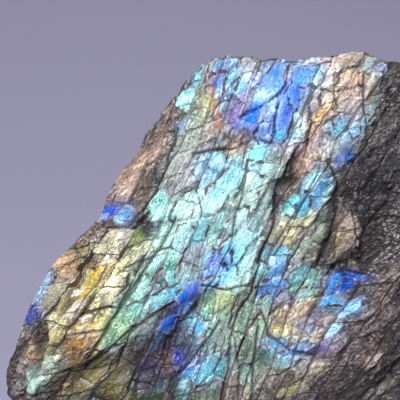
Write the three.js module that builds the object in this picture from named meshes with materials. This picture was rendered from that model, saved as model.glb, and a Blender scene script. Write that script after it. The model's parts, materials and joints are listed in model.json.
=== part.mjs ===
// Rough labradorite chunk: one solid, as it was broken out of the rock along its cleavages.
// Millimetres, +Z up, origin at the middle of the bounding box's bottom face.
// The show face, where the cleavage is open and the colours flash, looks along -Y.
// The surface is solved along rays from a point inside, on rings round the axis of the show face,
// with close rings on that face and wide ones behind it.

import * as THREE from "three";

const NAME = "labradorite_chunk";

// Outline seen along +Y, as x, z pairs, anticlockwise from the left end of the foot.
const OUTLINE = [
  [-53, -12], [47, -12], [53, 8], [58.5, 27], [61, 45], [60.5, 62], [58.5, 78], [55, 89],
  [50, 96.5], [44.5, 100], [39, 101.4], [33.5, 101.9], [28.5, 102.7], [23, 102.3], [13.5, 100.4],
  [7, 101], [1, 100.9], [-7.5, 102.2], [-11.2, 101.2], [-14.8, 97.4], [-18, 93.4], [-21.8, 89],
  [-24.9, 84.6], [-27.6, 79.6], [-31, 74.8], [-34.8, 69.4], [-36.6, 64.6], [-37.3, 61.2],
  [-39.8, 58.2], [-43.3, 55], [-47.3, 51.8], [-51, 47], [-53.5, 41.8], [-56.8, 34.6],
  [-59.6, 27.6], [-62.8, 21], [-64.5, 13], [-61, 3],
];

// The show face: a plane that leans back, crowned a little.
const FACE = { y: -27.5, lean: 0.085, midX: -4, midZ: 50, crownX: 0.0014, crownZ: 0.0011 };
// The back face, which slopes to the right and towards the top.
const BACK = { y: 30, slopeX: -0.1, slopeZ: -0.13, crown: 0.0016 };
// How fast the sides run in from the outline's depth towards the show face and the back.
const SIDES = {
  left: { depth: -12, front: 0.75, back: 0.42 },
  top: { depth: -19, front: 0.2, back: 0.3 },
  right: { depth: -2, front: 0.55, back: 0.5 },
  foot: { depth: 2, front: 0.1, back: 0.12 },
};
// Flat breaks across the corners: outward normal, and a point each passes through.
const BREAKS = [
  { normal: [-0.62, -0.66, 0.42], at: [-44, -22, 40] },
  { normal: [-0.55, -0.45, -0.7], at: [-55, -20, 8] },
  { normal: [0.06, -0.84, -0.54], at: [5, -29, 7] },
  { normal: [0.72, -0.6, -0.34], at: [50, -19, 24] },
  { normal: [0.6, -0.52, 0.6], at: [53, -13, 91] },
  { normal: [0.83, 0.5, 0.25], at: [49, 15, 52] },
  { normal: [0.3, 0.78, 0.54], at: [22, 19, 82] },
  { normal: [-0.5, 0.7, 0.5], at: [-18, 19, 72] },
  { normal: [-0.8, 0.56, 0.2], at: [-44, 15, 32] },
  { normal: [-0.3, 0.84, -0.44], at: [-24, 26, 12] },
  { normal: [0.45, 0.76, -0.46], at: [33, 23, 12] },
  { normal: [0.62, 0.77, 0.1], at: [30, 22, 40] },
  { normal: [-0.1, 0.97, 0.22], at: [-8, 28, 50] },
  { normal: [0.9, 0.2, -0.38], at: [55, 4, 18] },
];
const ROUNDING = 2.4; // mm over which two breaks run into each other

// Swells (height over 0) and hollows (under 0) of the show face: middle x, z, half length along
// the direction turn (degrees from +X towards +Z), half width across it, and height.
const SWELLS = [
  { what: "gold shoulder", x: -37, z: 37, long: 20, wide: 12, turn: 58, height: 2.2 },
  { what: "centre swell", x: -2, z: 60, long: 24, wide: 15, turn: 64, height: 1.6 },
  { what: "blue crest terrace", x: 6, z: 89, long: 17, wide: 9, turn: 0, height: 1.8 },
  { what: "pale crest", x: 25, z: 90, long: 11, wide: 8, turn: 75, height: 1.2 },
  { what: "notch under the terrace", x: -2, z: 79, long: 6.5, wide: 2.6, turn: 8, height: -3 },
  { what: "brown channel", x: 11.5, z: 70, long: 10.5, wide: 2.3, turn: 61, height: -3.4 },
  { what: "strip beside the channel", x: 18, z: 69, long: 12, wide: 2.6, turn: 62, height: 1 },
  { what: "black hollow", x: 36, z: 65, long: 17, wide: 9, turn: 72, height: -5.5 },
  { what: "hollow under the splinter", x: 27, z: 48, long: 10, wide: 4, turn: 20, height: -2.4 },
  { what: "tan splinter", x: 28, z: 57.5, long: 7.5, wide: 3, turn: 84, height: 3.6 },
  { what: "brown ridge", x: 34, z: 41, long: 17, wide: 4.5, turn: 55, height: 2.6 },
  { what: "edge ridge", x: 33, z: 26, long: 17, wide: 2.8, turn: 47, height: 2.8 },
  { what: "rainbow basin", x: 15, z: 34, long: 9, wide: 6, turn: 30, height: -1.6 },
  { what: "blue valley", x: -16, z: 31, long: 15, wide: 3.6, turn: 48, height: -2.8 },
  { what: "rubble pocket", x: -12, z: 39.5, long: 7, wide: 2.4, turn: 32, height: -1.6 },
  { what: "gold valley", x: -38, z: 22, long: 17, wide: 2.8, turn: 32, height: -2.2 },
  { what: "foot swell", x: -12, z: 12, long: 24, wide: 7, turn: 10, height: 1.5 },
];
const FACE_DEPTH = 9; // mm behind the show face where its swells have faded out

// Lumps left by breaking: wavelength and height in mm, the same all round.
const LUMPS = [
  { wave: 24, height: 0.9 },
  { wave: 9, height: 0.4 },
];
// Cleavage steps: the blocks between two cleavages stand at slightly different heights.
const STEPS = { along: 13, across: 6.5, turn: 62, height: 0.8, ramp: 0.28 };

// Rings: the point inside that the rays start from, the middle of the show face, and the
// distance between neighbouring points in front and behind.
const INSIDE = new THREE.Vector3(-3, 7, 49);
const FACE_MIDDLE = new THREE.Vector3(-9, -27, 60);
const SPACING = { front: 2.1, back: 4.2, frontAngle: 60, backAngle: 92 };
const RAY = { first: 12, last: 110, step: 3, halvings: 18 };
const RING_SAMPLES = 216;

const smoothstep = (low, high, value) => {
  const t = THREE.MathUtils.clamp((value - low) / (high - low), 0, 1);
  return t * t * (3 - 2 * t);
};

// The larger of two distances, with their meeting edge rounded off.
function roundedMax(a, b, radius) {
  const h = Math.max(radius - Math.abs(a - b), 0) / radius;
  return Math.max(a, b) + h * h * radius * 0.25;
}

// A number from 0 to 1 for each cell of a lattice.
function latticeValue(i, j, k) {
  let h = (i * 374761393 + j * 668265263 + k * 2147483647) | 0;
  h = Math.imul(h ^ (h >>> 13), 1274126177);
  h = Math.imul(h ^ (h >>> 16), 2246822519);
  return ((h ^ (h >>> 15)) >>> 0) / 4294967295;
}

// Smooth lumps from -1 to 1.
function lump(x, y, z) {
  const [i, j, k] = [Math.floor(x), Math.floor(y), Math.floor(z)];
  const fade = (t) => t * t * (3 - 2 * t);
  const [fx, fy, fz] = [fade(x - i), fade(y - j), fade(z - k)];
  let sum = 0;
  for (const dx of [0, 1])
    for (const dy of [0, 1])
      for (const dz of [0, 1]) {
        const weight = (dx ? fx : 1 - fx) * (dy ? fy : 1 - fy) * (dz ? fz : 1 - fz);
        sum += weight * latticeValue(i + dx, j + dy, k + dz);
      }
  return 2 * sum - 1;
}

// Signed distance to the outline in the x, z plane, and the direction out of its nearest edge.
function outlineDistance(x, z) {
  let nearest = Infinity;
  let inside = false;
  const out = { x: 0, z: 1 };
  for (let i = 0, j = OUTLINE.length - 1; i < OUTLINE.length; j = i++) {
    const [ax, az] = OUTLINE[j];
    const [bx, bz] = OUTLINE[i];
    const [ex, ez] = [bx - ax, bz - az];
    const along = ((x - ax) * ex + (z - az) * ez) / (ex * ex + ez * ez);
    const t = THREE.MathUtils.clamp(along, 0, 1);
    const [dx, dz] = [x - ax - t * ex, z - az - t * ez];
    const distance = Math.hypot(dx, dz);
    if (distance < nearest) {
      nearest = distance;
      const length = Math.hypot(ex, ez);
      [out.x, out.z] = [ez / length, -ex / length];
    }
    if (az > z !== bz > z && x < ((bx - ax) * (z - az)) / (bz - az) + ax) inside = !inside;
  }
  return { distance: inside ? -nearest : nearest, out };
}

// The sides' settings where the outline faces a given way, shared between the four sides.
function sideTowards(out) {
  const shares = {
    left: Math.max(-out.x, 0) ** 2,
    right: Math.max(out.x, 0) ** 2,
    top: Math.max(out.z, 0) ** 2,
    foot: Math.max(-out.z, 0) ** 2,
  };
  const mixed = { depth: 0, front: 0, back: 0 };
  for (const [side, share] of Object.entries(shares))
    for (const key of Object.keys(mixed)) mixed[key] += share * SIDES[side][key];
  return mixed;
}

// How far the show face stands out of its plane at x, z.
function swellHeight(x, z) {
  let height = 0;
  for (const s of SWELLS) {
    const turn = THREE.MathUtils.degToRad(s.turn);
    const [dx, dz] = [x - s.x, z - s.z];
    const along = (dx * Math.cos(turn) + dz * Math.sin(turn)) / s.long;
    const across = (dz * Math.cos(turn) - dx * Math.sin(turn)) / s.wide;
    height += s.height * Math.exp(-1.4 * (along * along + across * across) ** 1.5);
  }
  return height;
}

// Blocks between cleavages, each at its own height from -1 to 1, with short ramps between them.
function blockHeight(x, z) {
  const turn = THREE.MathUtils.degToRad(STEPS.turn);
  const wobble = 0.25 * lump(x / 17, 0, z / 17);
  const along = (x * Math.cos(turn) + z * Math.sin(turn)) / STEPS.along;
  const across = (z * Math.cos(turn) - x * Math.sin(turn)) / STEPS.across + wobble;
  const inRow = (row) => {
    const place = along + latticeValue(row, 7, 3) + wobble;
    const block = Math.floor(place);
    const share = smoothstep(1 - STEPS.ramp / 2, 1, place - block);
    return THREE.MathUtils.lerp(latticeValue(row, block, 5), latticeValue(row, block + 1, 5), share);
  };
  const row = Math.floor(across);
  const share = smoothstep(1 - STEPS.ramp, 1, across - row);
  return 2 * THREE.MathUtils.lerp(inRow(row), inRow(row + 1), share) - 1;
}

// Under 0 inside the stone and over 0 outside it, in mm near the surface.
function outside(p) {
  const { x, y, z } = p;
  const faceY = FACE.y + FACE.lean * (z - FACE.midZ)
    + FACE.crownX * (x - FACE.midX) ** 2 + FACE.crownZ * (z - FACE.midZ) ** 2;
  const front = faceY - y;
  const backY = BACK.y + BACK.slopeX * x + BACK.slopeZ * (z - FACE.midZ)
    - BACK.crown * (x * x + (z - FACE.midZ) ** 2);
  const { distance, out } = outlineDistance(x, z);
  const side = sideTowards(out);
  const runIn = side.front * Math.max(side.depth - y, 0) + side.back * Math.max(y - side.depth, 0);
  let value = roundedMax(front, distance + runIn, ROUNDING);
  value = roundedMax(value, y - backY, ROUNDING);
  for (const cut of BREAKS) {
    const [nx, ny, nz] = cut.normal;
    const [ax, ay, az] = cut.at;
    const across = (nx * (x - ax) + ny * (y - ay) + nz * (z - az)) / Math.hypot(nx, ny, nz);
    value = roundedMax(value, across, ROUNDING);
  }
  const nearFace = 1 - smoothstep(0, FACE_DEPTH, y - faceY);
  if (nearFace > 0) value -= nearFace * (swellHeight(x, z) + STEPS.height * blockHeight(x, z));
  for (const { wave, height } of LUMPS) value += height * lump(x / wave, y / wave, z / wave);
  return value;
}

// Where a ray from the inside leaves the stone. The foot is a flat break at z = 0.
function surfacePoint(direction) {
  const at = (r) => INSIDE.clone().addScaledVector(direction, r);
  const foot = direction.z < 0 ? -INSIDE.z / direction.z : Infinity;
  let [low, high] = [RAY.first, RAY.first];
  while (high < RAY.last && outside(at(high)) < 0) {
    low = high;
    high += RAY.step;
  }
  for (let i = 0; i < RAY.halvings; i++) {
    const middle = (low + high) / 2;
    if (outside(at(middle)) < 0) low = middle;
    else high = middle;
  }
  const point = at(Math.min(low, foot));
  if (low >= foot) point.z = 0;
  return point;
}

// Directions on a cone round the show face's axis, angle in radians from that axis.
const axis = FACE_MIDDLE.clone().sub(INSIDE).normalize();
const sideways = new THREE.Vector3().crossVectors(axis, new THREE.Vector3(0, 0, 1)).normalize();
const upwards = new THREE.Vector3().crossVectors(sideways, axis);
function coneDirection(angle, turn) {
  return axis.clone().multiplyScalar(Math.cos(angle))
    .addScaledVector(sideways, Math.sin(angle) * Math.cos(turn))
    .addScaledVector(upwards, Math.sin(angle) * Math.sin(turn));
}

// The closed line where a cone meets the surface, with the length run at each sample.
function ringLine(angle) {
  const points = [];
  for (let i = 0; i <= RING_SAMPLES; i++)
    points.push(surfacePoint(coneDirection(angle, (2 * Math.PI * (i % RING_SAMPLES)) / RING_SAMPLES)));
  const run = [0];
  for (let i = 1; i < points.length; i++) run.push(run[i - 1] + points[i].distanceTo(points[i - 1]));
  return { points, run, length: run[RING_SAMPLES] };
}

function spacingAt(angle) {
  const degrees = THREE.MathUtils.radToDeg(angle);
  const share = smoothstep(SPACING.frontAngle, SPACING.backAngle, degrees);
  return THREE.MathUtils.lerp(SPACING.front, SPACING.back, share);
}

// A ring's vertices at equal steps of length, as turns of the cone, solved again on the surface.
function ringPoints(angle, line, count) {
  const made = [];
  let i = 0;
  for (let n = 0; n < count; n++) {
    const target = (line.length * n) / count;
    while (line.run[i + 1] < target) i++;
    const share = (target - line.run[i]) / Math.max(line.run[i + 1] - line.run[i], 1e-9);
    const turn = (2 * Math.PI * (i + share)) / RING_SAMPLES;
    made.push({ at: surfacePoint(coneDirection(angle, turn)), turn });
  }
  return made;
}

// The next cone outwards whose ring lies one row of triangles away from this one.
function nextAngle(angle, line) {
  const wanted = spacingAt(angle) * Math.sqrt(0.75);
  const trial = angle + 0.02;
  const other = ringLine(Math.min(trial, Math.PI - 1e-3));
  let total = 0;
  for (let i = 0; i < RING_SAMPLES; i++) total += line.points[i].distanceTo(other.points[i]);
  return angle + (0.02 * wanted) / (total / RING_SAMPLES);
}

// Triangles between two rings of different counts, always stepping on the ring that lags.
function stitch(inner, outer, triangles) {
  const turnAfter = (ring, i) => {
    if (i >= ring.length) return Infinity;
    return i + 1 < ring.length ? ring[i + 1].turn : 2 * Math.PI;
  };
  let [i, j] = [0, 0];
  while (i < inner.length || j < outer.length) {
    const a = inner[i % inner.length].index;
    const b = outer[j % outer.length].index;
    if (turnAfter(inner, i) <= turnAfter(outer, j)) {
      i++;
      triangles.push(a, inner[i % inner.length].index, b);
    } else {
      j++;
      triangles.push(a, outer[j % outer.length].index, b);
    }
  }
}

function chunkGeometry() {
  const vertices = [];
  const triangles = [];
  const addVertex = (point) => vertices.push(point) - 1;
  let inner = [{ index: addVertex(surfacePoint(axis)), turn: 0 }];
  let angle = SPACING.front / INSIDE.distanceTo(FACE_MIDDLE);
  while (angle < Math.PI - 0.07) {
    const line = ringLine(angle);
    const count = Math.max(6, Math.round(line.length / spacingAt(angle)));
    const outer = ringPoints(angle, line, count).map((v) => ({ index: addVertex(v.at), turn: v.turn }));
    stitch(inner, outer, triangles);
    inner = outer;
    angle = nextAngle(angle, line);
  }
  const last = { index: addVertex(surfacePoint(axis.clone().negate())), turn: 0 };
  stitch(inner, [last], triangles);
  const geometry = new THREE.BufferGeometry();
  geometry.setAttribute("position", new THREE.Float32BufferAttribute(vertices.flatMap((v) => v.toArray()), 3));
  geometry.setIndex(triangles);
  return geometry;
}

function chunk() {
  const geometry = chunkGeometry();
  geometry.computeBoundingBox();
  const box = geometry.boundingBox;
  geometry.translate(-(box.min.x + box.max.x) / 2, -(box.min.y + box.max.y) / 2, 0);
  geometry.computeVertexNormals();
  const stone = new THREE.MeshStandardMaterial({ color: 0x6f8f94, roughness: 0.4, metalness: 0.1 });
  const mesh = new THREE.Mesh(geometry, stone);
  mesh.name = NAME;
  return mesh;
}

const part = new THREE.Group();
part.add(chunk());

export default part;
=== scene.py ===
"""Rough labradorite chunk: looks, studio and camera. Lengths in the lists below are in millimetres."""

import json
import math

import bpy
import numpy as np
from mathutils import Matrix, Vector
from mathutils.bvhtree import BVHTree

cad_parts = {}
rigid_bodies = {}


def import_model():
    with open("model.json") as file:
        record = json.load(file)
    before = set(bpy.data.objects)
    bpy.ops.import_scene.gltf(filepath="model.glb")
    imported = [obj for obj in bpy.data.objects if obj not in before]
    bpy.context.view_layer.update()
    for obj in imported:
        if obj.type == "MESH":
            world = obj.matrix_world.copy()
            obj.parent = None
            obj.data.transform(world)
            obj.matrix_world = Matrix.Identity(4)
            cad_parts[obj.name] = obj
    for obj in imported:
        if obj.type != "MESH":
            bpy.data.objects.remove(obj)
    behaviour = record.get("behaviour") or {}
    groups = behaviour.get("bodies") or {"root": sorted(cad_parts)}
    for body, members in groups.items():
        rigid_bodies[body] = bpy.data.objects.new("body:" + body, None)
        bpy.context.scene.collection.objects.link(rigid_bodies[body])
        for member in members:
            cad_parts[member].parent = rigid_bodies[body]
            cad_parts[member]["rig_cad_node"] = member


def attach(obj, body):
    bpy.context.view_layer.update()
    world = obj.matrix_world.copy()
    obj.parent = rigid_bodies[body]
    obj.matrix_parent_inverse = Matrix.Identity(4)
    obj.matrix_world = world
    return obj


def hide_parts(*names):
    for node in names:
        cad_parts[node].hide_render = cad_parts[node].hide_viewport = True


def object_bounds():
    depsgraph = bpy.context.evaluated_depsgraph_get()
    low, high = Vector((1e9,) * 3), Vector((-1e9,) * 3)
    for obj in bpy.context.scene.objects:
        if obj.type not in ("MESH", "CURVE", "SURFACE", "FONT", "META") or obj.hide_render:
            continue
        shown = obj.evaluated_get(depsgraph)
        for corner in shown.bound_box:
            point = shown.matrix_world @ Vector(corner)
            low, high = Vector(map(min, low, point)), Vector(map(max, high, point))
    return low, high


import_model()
cad_low, cad_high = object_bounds()

NODE = "labradorite_chunk"
MM = 0.001


# ---------------------------------------------------------------- small tools


def smoothstep(low, high, value):
    t = np.clip((value - low) / (high - low), 0.0, 1.0)
    return t * t * (3.0 - 2.0 * t)


def unit(v):
    return v / np.maximum(np.linalg.norm(v, axis=-1, keepdims=True), 1e-12)


def blend(a, b, share):
    """From a to b at each point, as far as share says."""
    return a + share[:, None] * (b - a)


def linear(colour):
    """A colour as the eye names it, from 0 to 1, turned into light."""
    c = np.asarray(colour, float)
    return np.where(c <= 0.04045, c / 12.92, ((c + 0.055) / 1.055) ** 2.4)


def lattice(i, j, k, seed):
    """A number from 0 to 1 for each cell of a lattice."""
    h = (i * 374761393 + j * 668265263 + k * 1274126177 + seed * 362437) & 0xFFFFFFFF
    h = ((h ^ (h >> 13)) * 1274126177) & 0xFFFFFFFF
    h = ((h ^ (h >> 16)) * 2246822519) & 0xFFFFFFFF
    return ((h ^ (h >> 15)) & 0xFFFFFF) / float(0xFFFFFF)


def lumps(points, wave, seed=0):
    """Smooth lumps from -1 to 1, wave mm long."""
    p = points / np.asarray(wave, float)
    cell = np.floor(p).astype(np.int64)
    f = p - cell
    f = f * f * f * (f * (f * 6 - 15) + 10)
    total = np.zeros(len(p))
    for dx in (0, 1):
        for dy in (0, 1):
            for dz in (0, 1):
                share = np.where(dx, f[:, 0], 1 - f[:, 0])
                share = share * np.where(dy, f[:, 1], 1 - f[:, 1])
                share = share * np.where(dz, f[:, 2], 1 - f[:, 2])
                total += share * lattice(cell[:, 0] + dx, cell[:, 1] + dy, cell[:, 2] + dz, seed)
    return 2 * total - 1


def rough(points, wave, octaves=3, seed=0):
    total = np.zeros(len(points))
    size = 1.0
    for n in range(octaves):
        total += size * lumps(points, wave / 2**n, seed + n)
        size *= 0.5
    return total / (2 - 0.5 ** (octaves - 1))


# ---------------------------------------------------------------- the CAD surface, seen from inside

# The map is seen from INSIDE, and starts where FACE_AXIS leaves through the show face.
INSIDE = np.array([-3.0, 4.0, 49.0])
FACE_AXIS = unit(np.array([-6.0, -34.0, 8.0]))
SIDEWAYS = unit(np.cross(FACE_AXIS, [0, 0, 1]))
UPWARDS = np.cross(SIDEWAYS, FACE_AXIS)
MAP_ROWS, MAP_TURNS = 420, 840
MAP_BLUR = 1.6  # cells of the map
OUTSIDE = 130.0  # rays start this far out


def cad_surface():
    node = next(o for o in bpy.context.scene.objects if o.get("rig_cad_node") == NODE)
    verts = np.empty(len(node.data.vertices) * 3)
    node.data.vertices.foreach_get("co", verts)
    verts = verts.reshape(-1, 3) / MM
    node.data.calc_loop_triangles()
    tris = np.empty(len(node.data.loop_triangles) * 3, np.int32)
    node.data.loop_triangles.foreach_get("vertices", tris)
    return BVHTree.FromPolygons(verts.tolist(), tris.reshape(-1, 3).tolist())


def cone_direction(angle, turn):
    sin = np.sin(angle)[..., None]
    return (
        np.cos(angle)[..., None] * FACE_AXIS
        + sin * np.cos(turn)[..., None] * SIDEWAYS
        + sin * np.sin(turn)[..., None] * UPWARDS
    )


def radius_map(tree):
    """How far the surface lies from INSIDE, for each cone angle and turn."""
    angles = np.linspace(0, math.pi, MAP_ROWS)
    turns = np.arange(MAP_TURNS) * 2 * math.pi / MAP_TURNS
    directions = cone_direction(*np.meshgrid(angles, turns, indexing="ij"))
    radius = np.empty((MAP_ROWS, MAP_TURNS))
    for i in range(MAP_ROWS):
        for j in range(MAP_TURNS):
            d = directions[i, j]
            start = INSIDE + OUTSIDE * d
            hit = tree.ray_cast(Vector(start), Vector(-d))
            radius[i, j] = OUTSIDE - hit[3] if hit[3] is not None else np.nan
    return np.where(np.isnan(radius), np.nanmedian(radius), radius)


def blur_map(radius, sigma):
    """Gaussian smoothing of the map, in its own cells."""
    reach = int(3 * sigma) + 1
    kernel = np.exp(-0.5 * (np.arange(-reach, reach + 1) / sigma) ** 2)
    kernel /= kernel.sum()
    across = sum(w * np.roll(radius, n - reach, axis=1) for n, w in enumerate(kernel))
    padded = np.pad(across, ((reach, reach), (0, 0)), mode="edge")
    return sum(w * padded[n : n + MAP_ROWS] for n, w in enumerate(kernel))


def surface(radius, angle, turn):
    """Points on the smoothed CAD surface."""
    row = np.clip(angle / math.pi * (MAP_ROWS - 1), 0, MAP_ROWS - 1.001)
    col = (turn / (2 * math.pi) * MAP_TURNS) % MAP_TURNS
    i, j = row.astype(int), col.astype(int) % MAP_TURNS
    fi, fj = row - i, col - np.floor(col)
    j1 = (j + 1) % MAP_TURNS
    r = (radius[i, j] * (1 - fi) + radius[i + 1, j] * fi) * (1 - fj)
    r = r + (radius[i, j1] * (1 - fi) + radius[i + 1, j1] * fi) * fj
    return INSIDE + r[..., None] * cone_direction(angle, turn)


# ---------------------------------------------------------------- the fine mesh

# mm between points on the show face and behind, and the degrees from FACE_AXIS where one becomes the other.
FINE, COARSE = 0.43, 1.7
FINE_ANGLE, COARSE_ANGLE = 66.0, 98.0
RING_SAMPLES = 720


def spacing(angle):
    share = smoothstep(FINE_ANGLE, COARSE_ANGLE, np.degrees(angle))
    return FINE + (COARSE - FINE) * share


def ring_mesh(radius):
    """Rings of points round FACE_AXIS, close together on the show face, and the triangles between."""
    rows = np.linspace(0.004, math.pi - 0.02, 1400)
    turns = np.arange(360) * 2 * math.pi / 360
    grid = surface(radius, *np.meshgrid(rows, turns, indexing="ij"))
    steps = np.linalg.norm(np.diff(grid, axis=0), axis=2).mean(axis=1)
    steps = steps / (spacing(rows[1:]) * math.sqrt(0.75))
    run = np.concatenate([[0], np.cumsum(steps)])
    ring_angles = np.interp(np.arange(0, run[-1]), run, rows)

    samples = np.arange(RING_SAMPLES + 1) * 2 * math.pi / RING_SAMPLES
    points, faces = [surface(radius, np.zeros(1), np.zeros(1))], []
    inner_start, inner_turns = 0, np.zeros(1)
    count = 1
    for angle in ring_angles:
        line = surface(radius, np.full(RING_SAMPLES + 1, angle), samples)
        length = np.concatenate([[0], np.cumsum(np.linalg.norm(np.diff(line, axis=0), axis=1))])
        n = max(6, int(round(length[-1] / spacing(angle))))
        at = np.interp((np.arange(n) + 0.5 * (len(faces) % 2)) / n * length[-1], length, samples)
        points.append(surface(radius, np.full(n, angle), at))
        faces.append(stitch(inner_start, inner_turns, count, at))
        inner_start, inner_turns = count, at
        count += n
    points.append(surface(radius, np.full(1, math.pi), np.zeros(1)))
    faces.append(stitch(inner_start, inner_turns, count, np.zeros(1)))
    return np.concatenate(points), np.concatenate(faces)


def stitch(inner_start, inner, outer_start, outer):
    """Triangles between two rings, stepping on the ring whose next point comes first."""
    n, m = len(inner), len(outer)
    after_inner = np.append(inner[1:], 2 * math.pi + inner[0])
    after_outer = np.append(outer[1:], 2 * math.pi + outer[0])
    order = np.argsort(np.concatenate([after_inner, after_outer]), kind="stable")
    steps_inner = order < n
    i = np.concatenate([[0], np.cumsum(steps_inner)[:-1]])
    j = np.concatenate([[0], np.cumsum(~steps_inner)[:-1]])
    a = inner_start + i % n
    b = outer_start + j % m
    c = np.where(steps_inner, inner_start + (i + 1) % n, outer_start + (j + 1) % m)
    tris = np.stack([a, c, b], axis=1)
    keep = (tris[:, 0] != tris[:, 1]) & (tris[:, 1] != tris[:, 2]) & (tris[:, 0] != tris[:, 2])
    return tris[keep]


def vertex_normals(points, faces):
    p = points[faces]
    cross = np.cross(p[:, 1] - p[:, 0], p[:, 2] - p[:, 0])
    normals = np.zeros_like(points)
    for corner in range(3):
        np.add.at(normals, faces[:, corner], cross)
    return unit(normals)


def neighbour_means(faces, points):
    """A function that gives the mean of values over the neighbours of each point."""
    sides = np.concatenate([faces[:, :2], faces[:, 1:], faces[:, ::2]])
    edges = np.unique(np.sort(sides, axis=1), axis=0)
    count = np.bincount(edges.ravel(), minlength=points).astype(float)

    def around(values):
        total = np.zeros_like(values)
        np.add.at(total, edges[:, 0], values[edges[:, 1]])
        np.add.at(total, edges[:, 1], values[edges[:, 0]])
        return total / (count[:, None] if values.ndim > 1 else count)

    return around


# ---------------------------------------------------------------- cleavage cells

# How a row of blocks bends: steep in the middle of the show face and flatter to both sides.
BEND = {"flat": 0.52, "steep": 0.62, "middle": -3.0, "reach": 24.0, "fall": 0.42}


def grain_coordinates(p):
    """Along the rows of blocks, across them, and into the stone."""
    x, y, z = p.T
    wobble = 1.5 * lumps(p, 26, 11)
    small = 0.5 * lumps(p, 8, 12)
    u = (x - BEND["middle"]) / BEND["reach"]
    bell = BEND["reach"] * math.sqrt(math.pi) / 2 * np.array([math.erf(v) for v in u])
    across = BEND["flat"] * x + BEND["steep"] * bell - BEND["fall"] * z + wobble + small
    along = z - 0.13 * x + 1.6 * lumps(p, 22, 14) + 0.5 * lumps(p, 7, 15)
    return np.stack([along, across, y + 0.8 * lumps(p, 19, 16)], axis=1)


# Blocks between cleavages and the chips inside them: mm along a row, across it, and deep.
BLOCKS = {"long": 8.0, "wide": 4.9, "deep": 14.0, "seed": 3.0}
CHIPS = {"long": 3.7, "wide": 2.35, "deep": 9.0, "seed": 8.0}
SPLINTERS = (1 / 2.4, 1 / 1.05, 1 / 1.8)
CLODS = (1 / 2.9, 1 / 2.1, 1 / 2.3)


class Nodes:
    """Shorthand for building a node tree."""

    def __init__(self, tree):
        self.tree = tree

    def put(self, socket, value):
        if isinstance(value, bpy.types.NodeSocket):
            self.tree.links.new(value, socket)
        elif value is not None:
            if socket.type == "RGBA" and len(value) == 3:
                value = (*value, 1.0)
            socket.default_value = value

    def new(self, kind, inputs=None, **settings):
        node = self.tree.nodes.new(kind)
        for key, value in settings.items():
            setattr(node, key, value)
        for key, value in (inputs or {}).items():
            self.put(node.inputs[key], value)
        return node

    def math(self, operation, a, b=None, c=None, clamp=False):
        node = self.new("ShaderNodeMath", operation=operation, use_clamp=clamp)
        for socket, value in zip(node.inputs, (a, b, c)):
            self.put(socket, value)
        return node.outputs[0]

    def vector(self, operation, a, b=None, c=None):
        node = self.new("ShaderNodeVectorMath", operation=operation)
        for socket, value in zip(node.inputs, (a, b, c)):
            self.put(socket, value)
        return node.outputs[0]

    def times(self, first, *others):
        for other in others:
            first = self.math("MULTIPLY", first, other)
        return first

    def most(self, first, *others):
        for other in others:
            first = self.math("MAXIMUM", first, other)
        return first

    def times_plus(self, a, b, c):
        return self.math("MULTIPLY_ADD", a, b, c)

    def plus(self, a, b):
        return self.math("ADD", a, b)

    def minus(self, a, b):
        return self.math("SUBTRACT", a, b)

    def line(self, distance, width):
        """1 on a line, falling to 0 at its width."""
        return self.math("SUBTRACT", 1.0, self.math("DIVIDE", distance, width), clamp=True)

    def scaled(self, vector, by):
        return self.vector("MULTIPLY", vector, by)

    def joined(self, x, y, z):
        node = self.new("ShaderNodeCombineXYZ")
        for socket, value in zip(node.inputs, (x, y, z)):
            self.put(socket, value)
        return node.outputs[0]

    def random(self, x, y, z):
        """Three random numbers for each whole x, y, z."""
        node = self.new("ShaderNodeTexWhiteNoise", {"Vector": self.joined(x, y, z)})
        node.noise_dimensions = "3D"
        return node.outputs["Color"]

    def mix(self, share, a, b, blend="MIX"):
        node = self.new("ShaderNodeMix", data_type="RGBA", blend_type=blend)
        node.clamp_result = False
        self.put(node.inputs[0], share)
        self.put(node.inputs[6], a)
        self.put(node.inputs[7], b)
        return node.outputs[2]

    def shaded(self, colour, value):
        return self.mix(1.0, colour, self.joined(value, value, value), "MULTIPLY")

    def between(self, value, low, high, to_low=0.0, to_high=1.0):
        node = self.new("ShaderNodeMapRange", interpolation_type="SMOOTHSTEP")
        for socket, v in zip(node.inputs, (value, low, high, to_low, to_high)):
            self.put(socket, v)
        return node.outputs[0]

    def cells(self, vector, feature="F1", output="Color"):
        node = self.new("ShaderNodeTexVoronoi", {"Vector": vector, "Scale": 1.0}, feature=feature)
        return node.outputs[output]

    def noise(self, vector, scale=1.0, detail=3.0, output=0):
        node = self.new("ShaderNodeTexNoise", {"Vector": vector, "Scale": scale, "Detail": detail})
        return node.outputs[output]

    def split(self, vector):
        return self.new("ShaderNodeSeparateXYZ", {"Vector": vector}).outputs


def frayed(n, at):
    """The grain coordinates with a little wander, so that no edge is straight."""
    wander = n.vector("SUBTRACT", n.noise(at, 0.55, 3.0, output=1), (0.50, 0.50, 0.50))
    return n.vector("MULTIPLY_ADD", wander, (1.5, 1.1, 1.0), at)


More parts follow.
